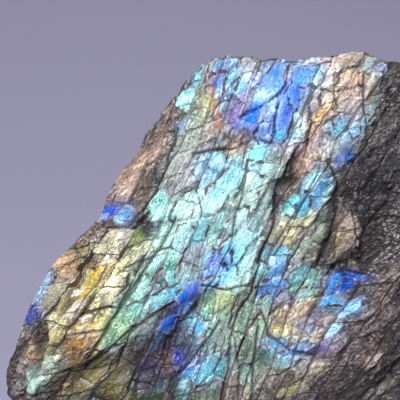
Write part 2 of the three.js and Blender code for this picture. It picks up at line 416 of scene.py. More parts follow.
def brick_cells(n, at, long, wide, deep, seed):
    """Blocks in rows. Returns each block's tint, the place in it, and the distances to its edges."""
    along, across, inward = n.split(at)
    depth = n.times_plus(inward, 1 / deep, 34 / deep)
    layer = n.math("FLOOR", depth)
    rows = n.math("DIVIDE", across, wide)
    row = n.math("FLOOR", rows)
    in_row = n.minus(rows, row)
    chance = n.split(n.random(row, layer, seed))
    length = n.times_plus(chance[0], 0.85 * long, 0.6 * long)
    skew = n.times(n.minus(in_row, 0.5), n.minus(chance[2], 0.5))
    place = n.math("DIVIDE", along, length)
    place = n.plus(place, n.times_plus(chance[1], 23.0, n.times(skew, 0.9)))
    block = n.math("FLOOR", place)
    in_block = n.minus(place, block)
    tint = n.random(row, n.times_plus(layer, 57.0, block), seed + 0.5)
    side = n.times(n.math("PINGPONG", in_row, 0.5), wide)
    end = n.times(n.math("PINGPONG", in_block, 0.5), length)
    where = n.joined(in_block, in_row, 0.0)
    edges = n.joined(side, end, 0.0)
    return tint, where, edges


def sampled(points, make):
    """Values of a node pattern at each point. make builds it and returns its outputs by name."""
    mesh = bpy.data.meshes.new("samples")
    mesh.vertices.add(len(points))
    mesh.vertices.foreach_set("co", points.astype(np.float32).ravel())
    sampler = bpy.data.objects.new("samples", mesh)
    bpy.context.scene.collection.objects.link(sampler)
    group = bpy.data.node_groups.new("samples", "GeometryNodeTree")
    group.interface.new_socket("Geometry", in_out="INPUT", socket_type="NodeSocketGeometry")
    group.interface.new_socket("Geometry", in_out="OUTPUT", socket_type="NodeSocketGeometry")
    last = group.nodes.new("NodeGroupInput").outputs[0]
    made = make(Nodes(group), group.nodes.new("GeometryNodeInputPosition").outputs[0])
    for name, output in made.items():
        store = group.nodes.new("GeometryNodeStoreNamedAttribute")
        store.data_type = "FLOAT_VECTOR"
        store.inputs["Name"].default_value = name
        group.links.new(last, store.inputs["Geometry"])
        group.links.new(output, store.inputs["Value"])
        last = store.outputs[0]
    group.links.new(last, group.nodes.new("NodeGroupOutput").inputs[0])
    sampler.modifiers.new("samples", "NODES").node_group = group
    result = sampler.evaluated_get(bpy.context.evaluated_depsgraph_get()).to_mesh()
    values = {}
    for name in made:
        flat = np.empty(len(points) * 3, np.float32)
        result.attributes[name].data.foreach_get("vector", flat)
        values[name] = flat.reshape(-1, 3).astype(float)
    bpy.data.objects.remove(sampler)
    bpy.data.meshes.remove(mesh)
    bpy.data.node_groups.remove(group)
    return values


def cell_values(grain_at):
    def make(n, at):
        at = frayed(n, at)
        found = {}
        for name, sizes in (("block", BLOCKS), ("chip", CHIPS)):
            tint, where, edges = brick_cells(n, at, **sizes)
            found.update({name: tint, name + "_where": where, name + "_edges": edges})
        found["splinter"] = n.cells(n.scaled(at, SPLINTERS))
        found["clod"] = n.cells(n.scaled(at, CLODS))
        found["clod_edge"] = n.cells(n.scaled(at, CLODS), "DISTANCE_TO_EDGE", "Distance")
        return found

    return sampled(grain_at, make)


def cell_means(tint, values):
    """For each point, the mean of values over the cell that it lies in."""
    keys = np.round(tint * 1e5).astype(np.int64)
    _, owner = np.unique(keys, axis=0, return_inverse=True)
    owner = owner.ravel()
    size = np.bincount(owner)
    return np.stack([np.bincount(owner, v) / size for v in values.T], axis=1)[owner]


# ---------------------------------------------------------------- colours of the show face

# name, middle x, z, half length, half width, turn in degrees from +X towards +Z, colour, grain.
# grain is 0 on clean cleaved blocks and 1 on rough matrix. Later patches lie over earlier ones.
PATCHES = [
    # broad zones
    ("mint field", -8, 58, 16, 14, 60, (0.70, 0.90, 0.85), 0.1),
    ("pale cyan field", 4, 70, 11, 9, 60, (0.66, 0.90, 0.92), 0.1),
    ("teal flank", -23, 41, 14, 10, 50, (0.56, 0.80, 0.74), 0.15),
    ("gold body", -36, 41, 17, 11, 60, (0.80, 0.76, 0.50), 0.25),
    ("lower drab", -32, 20, 14, 9, 20, (0.42, 0.40, 0.25), 0.45),
    ("sage foot", -2, 28, 14, 12, 70, (0.46, 0.62, 0.54), 0.2),
    ("olive grain", 14, 56, 13, 8, 55, (0.50, 0.49, 0.38), 0.6),
    ("mauve grain", 22, 27, 16, 11, 40, (0.44, 0.39, 0.41), 0.8),
    ("brown corner", 33, 20, 17, 9, 30, (0.20, 0.16, 0.14), 0.7),
    ("right matrix", 42, 62, 44, 11, 88, (0.20, 0.185, 0.215), 0.95),
    ("left flank rough", -25, 75, 24, 7, 58, (0.56, 0.48, 0.44), 0.85),
    ("grey-mint shoulder", -10, 76, 9, 8, 40, (0.48, 0.57, 0.54), 0.6),
    # the crown
    ("crown blue", 8, 90, 11, 8, 20, (0.21, 0.49, 0.92), 0.0),
    ("royal left", 5, 85, 5.5, 4.6, 60, (0.11, 0.39, 0.88), 0.0),
    ("royal right", 13, 90, 9.5, 4.2, 76, (0.23, 0.53, 0.95), 0.0),
    ("crown cyan foot", 15.2, 83.6, 3.6, 2.2, 75, (0.50, 0.84, 0.96), 0.0),
    ("white knob", 2.5, 98.4, 2.3, 2.0, 0, (0.80, 0.80, 0.84), 0.4),
    ("top rim", 10, 100.4, 13.0, 1.7, 2, (0.76, 0.72, 0.76), 0.6),
    ("violet grain", 0.5, 88, 3.4, 2.8, 60, (0.58, 0.48, 0.64), 0.6),
    ("corner cyan", -9.4, 96.2, 3.2, 2.0, 60, (0.74, 0.94, 0.97), 0.0),
    ("corner violet", -11.6, 93.5, 3.2, 1.0, 60, (0.42, 0.38, 0.82), 0.0),
    ("corner green", -8.4, 90, 5.4, 3.4, 62, (0.66, 0.68, 0.40), 0.4),
    ("periwinkle", -5.2, 94, 3.6, 1.9, 70, (0.54, 0.62, 0.92), 0.0),
    ("light cyan streaks", -1, 96.4, 3.4, 2.4, 70, (0.64, 0.87, 0.95), 0.1),
    # top right block
    ("cream block", 25, 92, 9.5, 8.4, 80, (0.74, 0.68, 0.58), 0.45),
    ("blue-green seam", 33.6, 92, 7.0, 2.0, 84, (0.42, 0.58, 0.62), 0.3),
    ("cyan under cream", 26, 83.2, 5.6, 2.3, 10, (0.42, 0.78, 0.90), 0.1),
    ("blue under cream", 27, 76.5, 3.4, 2.2, 75, (0.12, 0.20, 0.52), 0.2),
    ("dark seam", 21, 78, 3.4, 1.6, 40, (0.16, 0.16, 0.18), 0.4),
    # recess: dark matrix with painted shade in it; under splinter and splinter shade: painted shade below
    # and beside the splinter
    ("recess", 34, 68, 13, 5.6, 80, (0.10, 0.12, 0.17), 0.6),
    ("splinter", 28, 57.4, 7.0, 2.9, 86, (0.60, 0.53, 0.45), 0.3),
    ("under splinter", 28, 48.8, 6.6, 2.6, 10, (0.13, 0.14, 0.16), 0.6),
    ("splinter shade", 33, 56, 8.0, 2.4, 86, (0.14, 0.10, 0.09), 0.8),
    # the ledge and the channel
    # the ledge hollow is painted shade under the ledge
    ("ledge hollow", -1.8, 79, 5.0, 1.6, 6, (0.09, 0.07, 0.12), 0.5),
    ("light-blue patch", -7, 73.5, 3.6, 2.8, 50, (0.58, 0.76, 0.88), 0.2),
    ("channel", 12.0, 70.5, 10.5, 1.9, 62, (0.17, 0.12, 0.08), 0.6),
    ("channel facets", 11.0, 68.0, 4.0, 1.9, 50, (0.30, 0.37, 0.33), 0.3),
    ("pink-tan strip", 15.3, 73.2, 10.0, 1.5, 64, (0.70, 0.56, 0.48), 0.5),
    ("cyan chips right", 20, 67.5, 6.4, 4.2, 64, (0.40, 0.76, 0.86), 0.2),
    ("pale chips", 18, 62.5, 4.2, 2.0, 60, (0.78, 0.80, 0.62), 0.3),
    ("yellow chips", 11.5, 57.5, 4.6, 2.6, 55, (0.80, 0.78, 0.50), 0.3),
    ("grey-green strip", 14.4, 51.6, 9.5, 1.7, 54, (0.40, 0.48, 0.42), 0.2),
    ("teal chips", 8.6, 49.6, 4.8, 3.0, 50, (0.28, 0.66, 0.76), 0.1),
    # the centre
    ("white-mint blocks", -6, 63.5, 8.0, 4.6, 62, (0.84, 0.98, 0.95), 0.0),
    ("cyan blocks", 4.5, 66, 9.5, 4.0, 66, (0.66, 0.95, 0.97), 0.0),
    ("pale blocks", 1.0, 74.5, 4.6, 3.8, 62, (0.74, 0.94, 0.94), 0.0),
    ("cyan stripe", 0.2, 51.6, 9.6, 3.3, 67, (0.42, 0.86, 0.99), 0.0),
    ("stripe white edge", 3.6, 54.5, 6.0, 1.1, 67, (0.82, 0.97, 0.98), 0.0),
    ("stripe blue side", -3.4, 48.0, 6.6, 1.9, 67, (0.13, 0.51, 0.93), 0.0),
    ("teal pocket", -22.2, 59.3, 3.2, 2.0, 60, (0.12, 0.25, 0.27), 0.4),
    ("green mint", -16, 50, 6.0, 3.4, 60, (0.48, 0.76, 0.62), 0.0),
    # left flank
    ("flank pale", -15, 74, 13.0, 3.4, 62, (0.66, 0.70, 0.68), 0.6),
    ("flank cream", -22, 77.5, 5.0, 1.9, 56, (0.78, 0.68, 0.60), 0.7),
    ("flank brown", -28.5, 70, 6.0, 2.4, 52, (0.36, 0.28, 0.23), 0.9),
    ("flank blue chips", -33, 62.4, 3.0, 1.7, 30, (0.16, 0.26, 0.76), 0.1),
    ("flank light chip", -28.4, 61.4, 2.3, 1.6, 60, (0.54, 0.72, 0.92), 0.0),
    ("flank grey seam", -18.5, 67, 12.0, 1.3, 62, (0.20, 0.20, 0.22), 0.6),
    # gold side
    ("gold cream", -32, 54.4, 3.0, 1.9, 30, (0.88, 0.84, 0.70), 0.2),
    ("gold crinkles", -36, 51, 6.6, 2.2, 40, (0.45, 0.37, 0.22), 0.7),
    ("gold pale", -33, 43, 9.0, 5.0, 58, (0.92, 0.88, 0.60), 0.1),
    ("gold deep", -40.5, 36, 7.5, 3.6, 62, (0.78, 0.64, 0.32), 0.3),
    ("gold mint", -27, 42.5, 8.0, 3.0, 60, (0.62, 0.84, 0.66), 0.0),
    ("brown-gold", -39.5, 28, 6.2, 4.0, 50, (0.60, 0.45, 0.21), 0.5),
    ("pink-orange chip", -44.6, 48, 2.2, 1.4, 50, (0.86, 0.60, 0.44), 0.2),
    ("rim light chips", -49.6, 41.6, 4.6, 1.6, 66, (0.54, 0.70, 0.90), 0.1),
    ("rim royal", -52.6, 34.8, 3.0, 1.5, 62, (0.15, 0.23, 0.72), 0.1),
    ("rim pits", -49.8, 31.6, 3.8, 1.6, 60, (0.10, 0.08, 0.08), 0.8),
    ("rim orange", -52.6, 26, 2.4, 1.3, 60, (0.86, 0.66, 0.42), 0.3),
    ("rim mint", -50.4, 19.4, 3.8, 2.0, 60, (0.58, 0.78, 0.68), 0.2),
    # lower left
    ("mint-green blob", -29.4, 34, 4.2, 3.4, 50, (0.54, 0.80, 0.58), 0.0),
    ("light-blue streak", -17.4, 41.0, 5.4, 1.6, 40, (0.50, 0.76, 0.92), 0.0),
    ("dark band", -27, 31, 14.0, 1.4, 38, (0.20, 0.14, 0.10), 0.7),
    ("blue valley", -15, 33, 11.0, 5.6, 58, (0.08, 0.20, 0.52), 0.1),
    ("valley blue", -13.4, 42, 4.8, 2.7, 40, (0.13, 0.45, 0.88), 0.0),
    ("valley specks", -15, 38.4, 6.8, 1.7, 32, (0.10, 0.08, 0.11), 0.7),
    ("valley sky", -12.4, 35.2, 3.2, 1.9, 70, (0.34, 0.68, 0.97), 0.0),
    ("valley chips", -17.6, 34.4, 2.4, 1.6, 50, (0.21, 0.49, 0.96), 0.0),
    ("indigo", -22.4, 25.2, 3.6, 2.3, 40, (0.30, 0.24, 0.60), 0.2),
    ("dark teal", -18, 18.6, 8.6, 4.2, 10, (0.07, 0.15, 0.13), 0.3),
    # lower centre
    ("pale streaks", -8.6, 23.4, 10.0, 4.0, 74, (0.62, 0.84, 0.86), 0.0),
    ("yellow-mint", -4.4, 39.6, 5.6, 3.6, 66, (0.76, 0.85, 0.56), 0.0),
    ("sage blocks", 2.6, 34.4, 6.6, 3.0, 66, (0.42, 0.57, 0.47), 0.1),
    ("cream chips", 0.2, 18, 3.6, 1.9, 10, (0.78, 0.70, 0.55), 0.4),
    # rainbow
    ("rainbow peach", 14.6, 38.2, 6.6, 2.0, 18, (0.91, 0.78, 0.60), 0.1),
    ("rainbow yellow", 13.0, 35.4, 6.0, 1.9, 20, (0.88, 0.85, 0.46), 0.0),
    ("rainbow sky", 13.4, 31.0, 6.8, 2.2, 22, (0.40, 0.72, 0.96), 0.0),
    ("rainbow grey", 21.6, 32.6, 3.6, 2.8, 60, (0.45, 0.52, 0.68), 0.2),
    ("mint chips", 16.6, 44, 4.6, 3.2, 40, (0.50, 0.78, 0.68), 0.1),
    ("royal chips", 24.8, 44, 3.6, 2.0, 40, (0.10, 0.32, 0.86), 0.0),
    ("royal chip far", 29.6, 46, 1.8, 1.0, 30, (0.17, 0.41, 0.88), 0.0),
    ("sky chips", 23.4, 39.6, 2.8, 1.4, 20, (0.44, 0.80, 0.96), 0.0),
    ("sky chip far", 28.4, 39, 1.9, 1.0, 20, (0.40, 0.70, 0.95), 0.0),
    # lower right
    ("tan lens", 33.8, 27.2, 4.4, 2.4, 30, (0.58, 0.46, 0.38), 0.3),
    ("brown ridge", 36, 41, 9.0, 3.6, 62, (0.50, 0.42, 0.40), 0.8),
    ("smooth brown", 34, 17, 9.0, 3.0, 38, (0.37, 0.32, 0.29), 0.2),
]

# Cleaved faces that show as one piece each: middle x, z, half length, half width, turn, colour, grain.
FACES = [
    # the crown, from its left corner to the right
    (-9.2, 97.5, 2.9, 1.3, 55, (0.61, 0.94, 0.97), 0.0),
    (-10.7, 97.6, 2.4, 0.7, 50, (0.41, 0.53, 0.90), 0.0),
    (-7.0, 98.3, 2.4, 0.8, 75, (0.80, 0.72, 0.62), 0.3),
    (-5.2, 95.1, 3.2, 2.0, 85, (0.46, 0.62, 0.97), 0.0),
    (-2.8, 99.1, 3.4, 1.0, 10, (0.42, 0.70, 0.97), 0.1),
    (-0.6, 96.5, 3.6, 1.4, 58, (0.53, 0.86, 0.97), 0.1),
    (-2.0, 92.3, 3.8, 1.1, 55, (0.27, 0.65, 0.95), 0.0),
    (1.0, 94.3, 3.6, 1.0, 55, (0.47, 0.82, 0.94), 0.2),
    (-3.6, 89.1, 1.7, 1.0, 50, (0.46, 0.86, 0.98), 0.0),
    (-0.2, 88.7, 3.4, 1.6, 50, (0.62, 0.54, 0.84), 0.6),
    (2.2, 90.7, 3.0, 0.8, 62, (0.82, 0.74, 0.80), 0.6),
    (2.8, 99.5, 2.0, 1.8, 0, (0.82, 0.79, 0.82), 0.6),
    (5.1, 97.1, 4.0, 1.4, 50, (0.58, 0.67, 0.80), 0.4),
    (7.5, 93.8, 5.6, 3.1, 50, (0.33, 0.61, 0.96), 0.0),
    (12.5, 96.4, 1.8, 0.9, 60, (0.84, 0.76, 0.70), 0.4),
    (11.7, 93.5, 3.6, 0.9, 60, (0.17, 0.47, 0.94), 0.0),
    (4.2, 86.3, 4.3, 2.2, 58, (0.17, 0.49, 0.97), 0.0),
    (7.7, 87.6, 3.4, 1.4, 60, (0.58, 0.74, 0.96), 0.0),
    (6.2, 82.6, 3.0, 2.1, 80, (0.43, 0.63, 0.96), 0.0),
    (8.6, 84.0, 3.6, 1.0, 76, (0.34, 0.50, 0.95), 0.0),
    (11.8, 86.2, 5.0, 2.6, 74, (0.34, 0.54, 0.97), 0.0),
    (14.6, 84.0, 3.8, 1.6, 82, (0.75, 0.96, 0.99), 0.0),
    (16.9, 85.9, 5.0, 0.9, 80, (0.90, 0.90, 0.88), 0.1),
    (17.2, 96.4, 4.2, 3.3, 35, (0.33, 0.63, 0.97), 0.0),
    (14.4, 91.0, 3.2, 2.4, 70, (0.40, 0.58, 0.97), 0.0),
    (17.1, 91.2, 4.0, 1.2, 65, (0.67, 0.87, 0.97), 0.1),
    # the cream block beside the blue
    (20.2, 100.7, 4.4, 0.9, 6, (0.84, 0.80, 0.83), 0.3),
    (23.1, 96.3, 3.4, 1.7, 60, (0.85, 0.83, 0.78), 0.1),
    (19.4, 90.6, 3.2, 1.1, 68, (0.85, 0.86, 0.88), 0.1),
    (23.0, 91.5, 3.0, 1.8, 70, (0.90, 0.86, 0.78), 0.1),
    (21.8, 88.0, 3.8, 1.4, 45, (0.82, 0.62, 0.40), 0.2),
    (22.4, 85.7, 3.4, 0.8, 45, (0.90, 0.76, 0.52), 0.2),
    (28.5, 95.4, 3.4, 2.3, 0, (0.86, 0.72, 0.60), 0.1),
    (31.4, 96.0, 2.2, 0.9, 88, (0.78, 0.68, 0.42), 0.1),
    (27.5, 90.3, 3.6, 2.9, 75, (0.86, 0.81, 0.77), 0.1),
    (31.2, 92.3, 1.5, 1.1, 80, (0.86, 0.68, 0.68), 0.2),
    (29.6, 87.1, 2.6, 1.9, 60, (0.84, 0.79, 0.78), 0.3),
    (27.5, 101.6, 4.4, 0.9, 0, (0.84, 0.76, 0.68), 0.3),
    (27.2, 99.7, 5.6, 1.2, 3, (0.66, 0.58, 0.48), 0.5),
    (33.0, 98.8, 1.9, 1.2, 70, (0.56, 0.80, 0.82), 0.1),
    (35.4, 98.3, 1.4, 1.2, 60, (0.42, 0.54, 0.82), 0.2),
    (34.1, 95.8, 2.8, 1.0, 80, (0.64, 0.70, 0.62), 0.3),
    (33.4, 91.8, 2.6, 1.2, 70, (0.48, 0.36, 0.28), 0.5),
    (34.5, 89.6, 2.0, 0.9, 70, (0.36, 0.52, 0.40), 0.3),
    (32.9, 87.9, 1.6, 1.3, 60, (0.62, 0.72, 0.74), 0.2),
    (25.5, 84.0, 2.7, 1.7, 70, (0.44, 0.84, 0.98), 0.0),
    (28.8, 83.6, 2.9, 1.4, 62, (0.42, 0.74, 0.99), 0.0),
    (31.8, 84.9, 2.4, 0.9, 62, (0.51, 0.86, 0.97), 0.0),
    (22.9, 82.8, 2.0, 1.2, 70, (0.50, 0.76, 0.88), 0.1),
    (26.6, 80.6, 2.8, 1.5, 50, (0.54, 0.66, 0.70), 0.3),
    (26.4, 76.9, 2.2, 1.5, 42, (0.16, 0.36, 0.66), 0.3),
    (19.3, 80.6, 2.8, 1.1, 75, (0.82, 0.70, 0.62), 0.2),
    (17.8, 76.4, 3.4, 1.3, 62, (0.80, 0.66, 0.56), 0.3),
    (14.0, 79.0, 2.2, 1.5, 30, (0.86, 0.82, 0.86), 0.2),
    (22.0, 79.6, 2.2, 1.6, 60, (0.74, 0.78, 0.78), 0.4),
    (36.2, 81.2, 2.2, 1.2, 40, (0.40, 0.36, 0.34), 0.85),
    # under the ledge and down the middle
    (0.8, 80.2, 2.8, 1.9, 30, (0.72, 0.62, 0.52), 0.5),
    (6.1, 77.3, 2.3, 2.1, 80, (0.53, 0.96, 0.98), 0.0),
    (5.8, 73.3, 2.5, 1.7, 8, (0.65, 0.95, 0.99), 0.0),
    (4.0, 69.8, 2.9, 2.5, 60, (0.71, 0.98, 0.98), 0.0),
    (-1.3, 70.7, 2.8, 2.2, 50, (0.53, 0.93, 0.98), 0.0),
    (2.6, 66.4, 2.6, 2.1, 60, (0.77, 0.95, 0.82), 0.0),
    (-7.7, 73.9, 3.1, 2.5, 40, (0.55, 0.82, 0.97), 0.3),
    (9.2, 76.6, 1.9, 1.8, 60, (0.66, 0.74, 0.72), 0.5),
    (8.6, 70.6, 4.4, 1.5, 62, (0.62, 0.72, 0.66), 0.3),
    (-18.2, 63.8, 3.0, 2.4, 60, (0.65, 0.96, 0.92), 0.0),
    (-14.1, 63.0, 3.1, 2.7, 55, (0.76, 0.98, 0.94), 0.0),
    (-11.3, 66.6, 2.9, 1.4, 10, (0.67, 0.95, 0.91), 0.0),
    (-7.6, 64.4, 4.5, 2.0, 52, (0.71, 0.98, 0.98), 0.0),
    (-17.7, 56.7, 2.9, 2.2, 60, (0.77, 0.98, 0.92), 0.0),
    (-13.9, 57.0, 3.9, 1.4, 58, (0.69, 0.97, 0.96), 0.0),
    (-19.2, 51.0, 3.4, 1.4, 52, (0.69, 0.96, 0.91), 0.0),
    (-10.5, 56.6, 2.7, 1.6, 50, (0.53, 0.93, 0.98), 0.0),
    (-11.3, 52.2, 2.7, 2.1, 55, (0.66, 0.70, 0.78), 0.4),
    (-4.9, 59.7, 2.9, 1.4, 66, (0.65, 0.94, 0.91), 0.0),
    (-0.6, 60.7, 4.3, 1.4, 52, (0.71, 0.96, 0.93), 0.0),
    (4.6, 60.6, 3.4, 1.4, 56, (0.62, 0.78, 0.76), 0.4),
    (0.4, 55.4, 4.4, 2.6, 62, (0.51, 0.94, 0.99), 0.0),
    (-2.6, 52.2, 4.0, 1.7, 66, (0.26, 0.68, 0.98), 0.0),
    (-4.6, 48.6, 3.4, 2.3, 62, (0.17, 0.57, 0.97), 0.0),
    (1.9, 50.9, 4.8, 1.3, 66, (0.75, 0.98, 0.98), 0.0),
    (-5.8, 46.0, 2.8, 1.3, 40, (0.34, 0.80, 0.99), 0.0),
    (-0.3, 46.1, 2.7, 1.8, 60, (0.77, 0.98, 0.94), 0.0),
    (-8.6, 50.4, 2.4, 0.9, 70, (0.36, 0.66, 0.70), 0.1),
    (-13.6, 47.2, 2.6, 1.7, 50, (0.56, 0.74, 0.74), 0.3),
    (-16.4, 46.4, 2.0, 1.3, 45, (0.53, 0.92, 0.92), 0.0),
    # between the brown channel and the splinter
    (13.0, 63.9, 2.3, 1.0, 62, (0.49, 0.93, 0.98), 0.0),
    (16.8, 64.9, 2.4, 1.1, 62, (0.36, 0.80, 0.93), 0.0),
    (20.0, 66.6, 2.6, 1.1, 64, (0.26, 0.62, 0.86), 0.0),
    (18.4, 70.9, 2.8, 1.1, 64, (0.56, 0.78, 0.84), 0.1),
    (12.2, 59.8, 1.8, 1.4, 55, (0.87, 0.88, 0.68), 0.1),
    (14.6, 58.4, 1.5, 1.2, 50, (0.92, 0.88, 0.74), 0.1),
    (17.6, 57.6, 2.0, 1.2, 50, (0.76, 0.78, 0.60), 0.2),
    (9.4, 56.6, 2.2, 1.2, 56, (0.62, 0.66, 0.50), 0.4),
    (16.4, 54.2, 5.6, 1.2, 50, (0.58, 0.66, 0.60), 0.2),
    (8.9, 51.7, 2.4, 2.0, 50, (0.34, 0.72, 0.88), 0.0),
    (9.9, 48.2, 3.0, 1.3, 40, (0.28, 0.62, 0.92), 0.0),
    (5.8, 48.3, 1.9, 1.2, 60, (0.50, 0.87, 0.87), 0.0),
    (8.1, 43.4, 2.4, 1.8, 50, (0.30, 0.64, 0.97), 0.0),
    (7.1, 40.2, 1.4, 1.2, 50, (0.68, 0.87, 0.80), 0.0),
    (11.7, 41.0, 1.5, 1.2, 50, (0.68, 0.70, 0.76), 0.1),
    (15.0, 42.2, 2.0, 0.9, 12, (0.50, 0.72, 0.78), 0.0),
    (15.5, 47.4, 1.8, 1.1, 20, (0.40, 0.62, 0.68), 0.1),
    (19.3, 45.2, 1.5, 1.0, 20, (0.60, 0.84, 0.78), 0.0),
    (23.9, 44.9, 2.0, 1.4, 30, (0.22, 0.50, 0.88), 0.0),
    (26.5, 43.9, 1.5, 1.2, 40, (0.12, 0.34, 0.80), 0.0),
    (29.8, 46.2, 1.6, 0.7, -20, (0.13, 0.45, 0.88), 0.0),
    (23.6, 40.2, 2.3, 0.9, -5, (0.28, 0.68, 0.95), 0.0),
    (28.5, 39.4, 1.8, 0.8, 5, (0.42, 0.68, 0.96), 0.0),
    (23.6, 38.1, 1.7, 0.8, 10, (0.30, 0.56, 0.66), 0.1),
    # the splinter on the dark flank
    (27.4, 57.0, 4.9, 1.6, 88, (0.66, 0.57, 0.48), 0.5),
    (25.6, 56.4, 4.8, 0.9, 86, (0.52, 0.47, 0.31), 0.4),
    (29.4, 53.8, 3.6, 0.8, 84, (0.66, 0.58, 0.54), 0.6),
    # painted shade down the splinter's left side
    (23.2, 59.4, 6.6, 0.9, 82, (0.12, 0.13, 0.14), 0.6),
    (28.4, 65.6, 3.4, 2.4, 80, (0.14, 0.13, 0.17), 0.93),
    # the rainbow basin
    (13.2, 36.6, 3.3, 1.5, 10, (0.84, 0.76, 0.62), 0.25),
    (11.4, 33.2, 2.5, 1.6, -20, (0.84, 0.80, 0.52), 0.2),
    (14.4, 32.4, 2.0, 1.3, 20, (0.90, 0.85, 0.70), 0.2),
    (17.2, 34.4, 2.7, 1.6, 10, (0.54, 0.60, 0.74), 0.25),
    (19.6, 36.4, 1.8, 1.5, 50, (0.36, 0.34, 0.44), 0.4),
    (10.3, 29.4, 2.7, 1.5, 10, (0.34, 0.72, 0.95), 0.1),
    (14.5, 28.6, 3.4, 1.1, 22, (0.34, 0.64, 0.95), 0.1),
    (16.8, 30.6, 1.8, 0.9, 20, (0.66, 0.78, 0.70), 0.2),
    (19.6, 31.8, 2.0, 0.9, 50, (0.76, 0.68, 0.46), 0.3),
    (23.4, 36.0, 1.6, 0.9, 20, (0.80, 0.68, 0.56), 0.3),
    (23.9, 33.2, 1.9, 1.1, 80, (0.52, 0.78, 0.90), 0.1),
    (20.4, 28.8, 3.0, 1.1, 25, (0.22, 0.24, 0.62), 0.2),
    (12.6, 25.6, 2.8, 1.2, 14, (0.46, 0.68, 0.70), 0.3),
    (17.6, 25.4, 2.6, 1.2, 24, (0.58, 0.56, 0.54), 0.6),
    (20.4, 24.2, 2.1, 0.9, 10, (0.68, 0.66, 0.48), 0.4),
    (23.6, 29.6, 2.4, 1.4, 50, (0.50, 0.44, 0.50), 0.7),
    (14.6, 22.0, 4.2, 1.4, 16, (0.50, 0.46, 0.42), 0.7),
    (13.5, 18.2, 2.4, 0.9, 12, (0.62, 0.60, 0.40), 0.4),
    (8.0, 21.6, 3.0, 1.6, 20, (0.56, 0.54, 0.46), 0.6),
    (7.4, 26.4, 2.4, 1.6, 70, (0.40, 0.54, 0.50), 0.3),
    (5.3, 33.3, 3.1, 1.5, 62, (0.56, 0.70, 0.62), 0.1),
    (2.0, 36.2, 3.2, 1.6, 64, (0.52, 0.68, 0.60), 0.1),
    (2.9, 28.8, 2.8, 1.4, 68, (0.46, 0.56, 0.48), 0.2),
    (2.7, 22.8, 1.9, 1.3, 70, (0.50, 0.77, 0.68), 0.0),
    # the left flank
    (-12.6, 79.2, 3.6, 2.2, 60, (0.70, 0.76, 0.73), 0.5),
    (-16.4, 73.6, 3.8, 1.8, 60, (0.64, 0.68, 0.66), 0.6),
    (-12.6, 73.4, 2.8, 1.8, 60, (0.74, 0.76, 0.78), 0.5),
    (-14.6, 68.6, 3.0, 1.6, 50, (0.68, 0.70, 0.72), 0.5),
    (-6.6, 79.8, 3.0, 1.3, 30, (0.66, 0.62, 0.60), 0.6),
    (-9.4, 82.6, 2.8, 1.4, 50, (0.66, 0.72, 0.66), 0.5),
    (-20.6, 81.4, 3.4, 1.4, 56, (0.48, 0.38, 0.32), 0.8),
    (-24.0, 75.6, 3.8, 1.6, 55, (0.72, 0.60, 0.52), 0.6),
    (-28.6, 69.0, 4.0, 1.8, 52, (0.70, 0.58, 0.50), 0.6),
    (-31.6, 65.6, 2.4, 1.2, 50, (0.66, 0.62, 0.60), 0.6),
    (-24.6, 66.6, 3.2, 1.2, 56, (0.46, 0.38, 0.34), 0.7),
    (-20.4, 72.0, 4.2, 1.0, 60, (0.30, 0.25, 0.24), 0.8),
    # the gold side
    (-31.9, 54.2, 3.1, 2.1, 30, (0.79, 0.77, 0.63), 0.39),
    (-26.5, 55.3, 2.7, 1.5, 32, (0.60, 0.71, 0.40), 0.24),
    (-25.4, 52.6, 3.1, 1.0, 30, (0.80, 0.82, 0.67), 0.24),
    (-43.9, 48.0, 2.3, 1.7, 50, (0.77, 0.61, 0.48), 0.50),
    (-37.4, 45.2, 3.7, 1.2, 42, (0.83, 0.76, 0.36), 0.34),
    (-31.9, 43.2, 4.6, 2.3, 52, (0.90, 0.88, 0.63), 0.24),
    (-28.9, 41.6, 5.0, 1.2, 58, (0.70, 0.91, 0.83), 0.14),
    (-35.8, 39.6, 4.4, 1.3, 50, (0.84, 0.79, 0.54), 0.34),
    (-37.9, 36.6, 4.4, 1.8, 48, (0.84, 0.73, 0.42), 0.34),
    (-34.0, 36.0, 3.4, 1.3, 56, (0.86, 0.80, 0.54), 0.24),
    (-45.0, 33.9, 2.6, 1.8, 45, (0.89, 0.86, 0.61), 0.24),
    (-40.0, 28.2, 3.8, 2.5, 40, (0.58, 0.44, 0.21), 0.50),
    (-35.7, 31.4, 2.5, 1.5, 60, (0.86, 0.76, 0.46), 0.24),
    (-46.8, 40.0, 3.6, 1.2, 56, (0.63, 0.63, 0.52), 0.50),
    (-50.8, 41.6, 3.0, 0.6, 64, (0.58, 0.71, 0.86), 0.34),
    (-50.8, 20.6, 2.4, 1.6, 40, (0.63, 0.77, 0.69), 0.50),
    (-45.6, 25.0, 3.0, 1.6, 42, (0.60, 0.69, 0.56), 0.44),
    # lower left of the middle
    (-29.5, 33.6, 3.7, 2.4, 48, (0.60, 0.86, 0.68), 0.0),
    (-19.4, 41.4, 4.8, 1.3, 34, (0.54, 0.93, 0.98), 0.0),
    (-24.4, 38.2, 3.2, 1.5, 40, (0.54, 0.82, 0.76), 0.0),
    (-23.6, 44.6, 3.2, 1.4, 52, (0.56, 0.82, 0.78), 0.0),
    (-19.2, 45.0, 2.2, 1.7, 50, (0.48, 0.60, 0.68), 0.3),
    (-12.6, 41.8, 3.5, 1.5, 48, (0.10, 0.46, 0.97), 0.0),
    (-16.6, 38.6, 3.0, 1.2, 36, (0.07, 0.10, 0.22), 0.6),
    (-22.6, 34.2, 3.4, 1.3, 42, (0.32, 0.44, 0.44), 0.3),
    (-17.8, 34.2, 2.3, 1.2, 50, (0.18, 0.52, 0.97), 0.1),
    (-20.6, 30.2, 2.8, 1.6, 44, (0.14, 0.38, 0.54), 0.3),
    (-14.6, 31.4, 3.4, 1.0, 60, (0.20, 0.12, 0.16), 0.5),
    (-10.8, 33.6, 3.2, 1.7, 66, (0.30, 0.76, 0.99), 0.0),
    (-11.6, 29.4, 2.4, 1.4, 56, (0.17, 0.19, 0.32), 0.4),
    (-14.8, 26.4, 1.6, 1.0, 60, (0.06, 0.28, 0.94), 0.0),
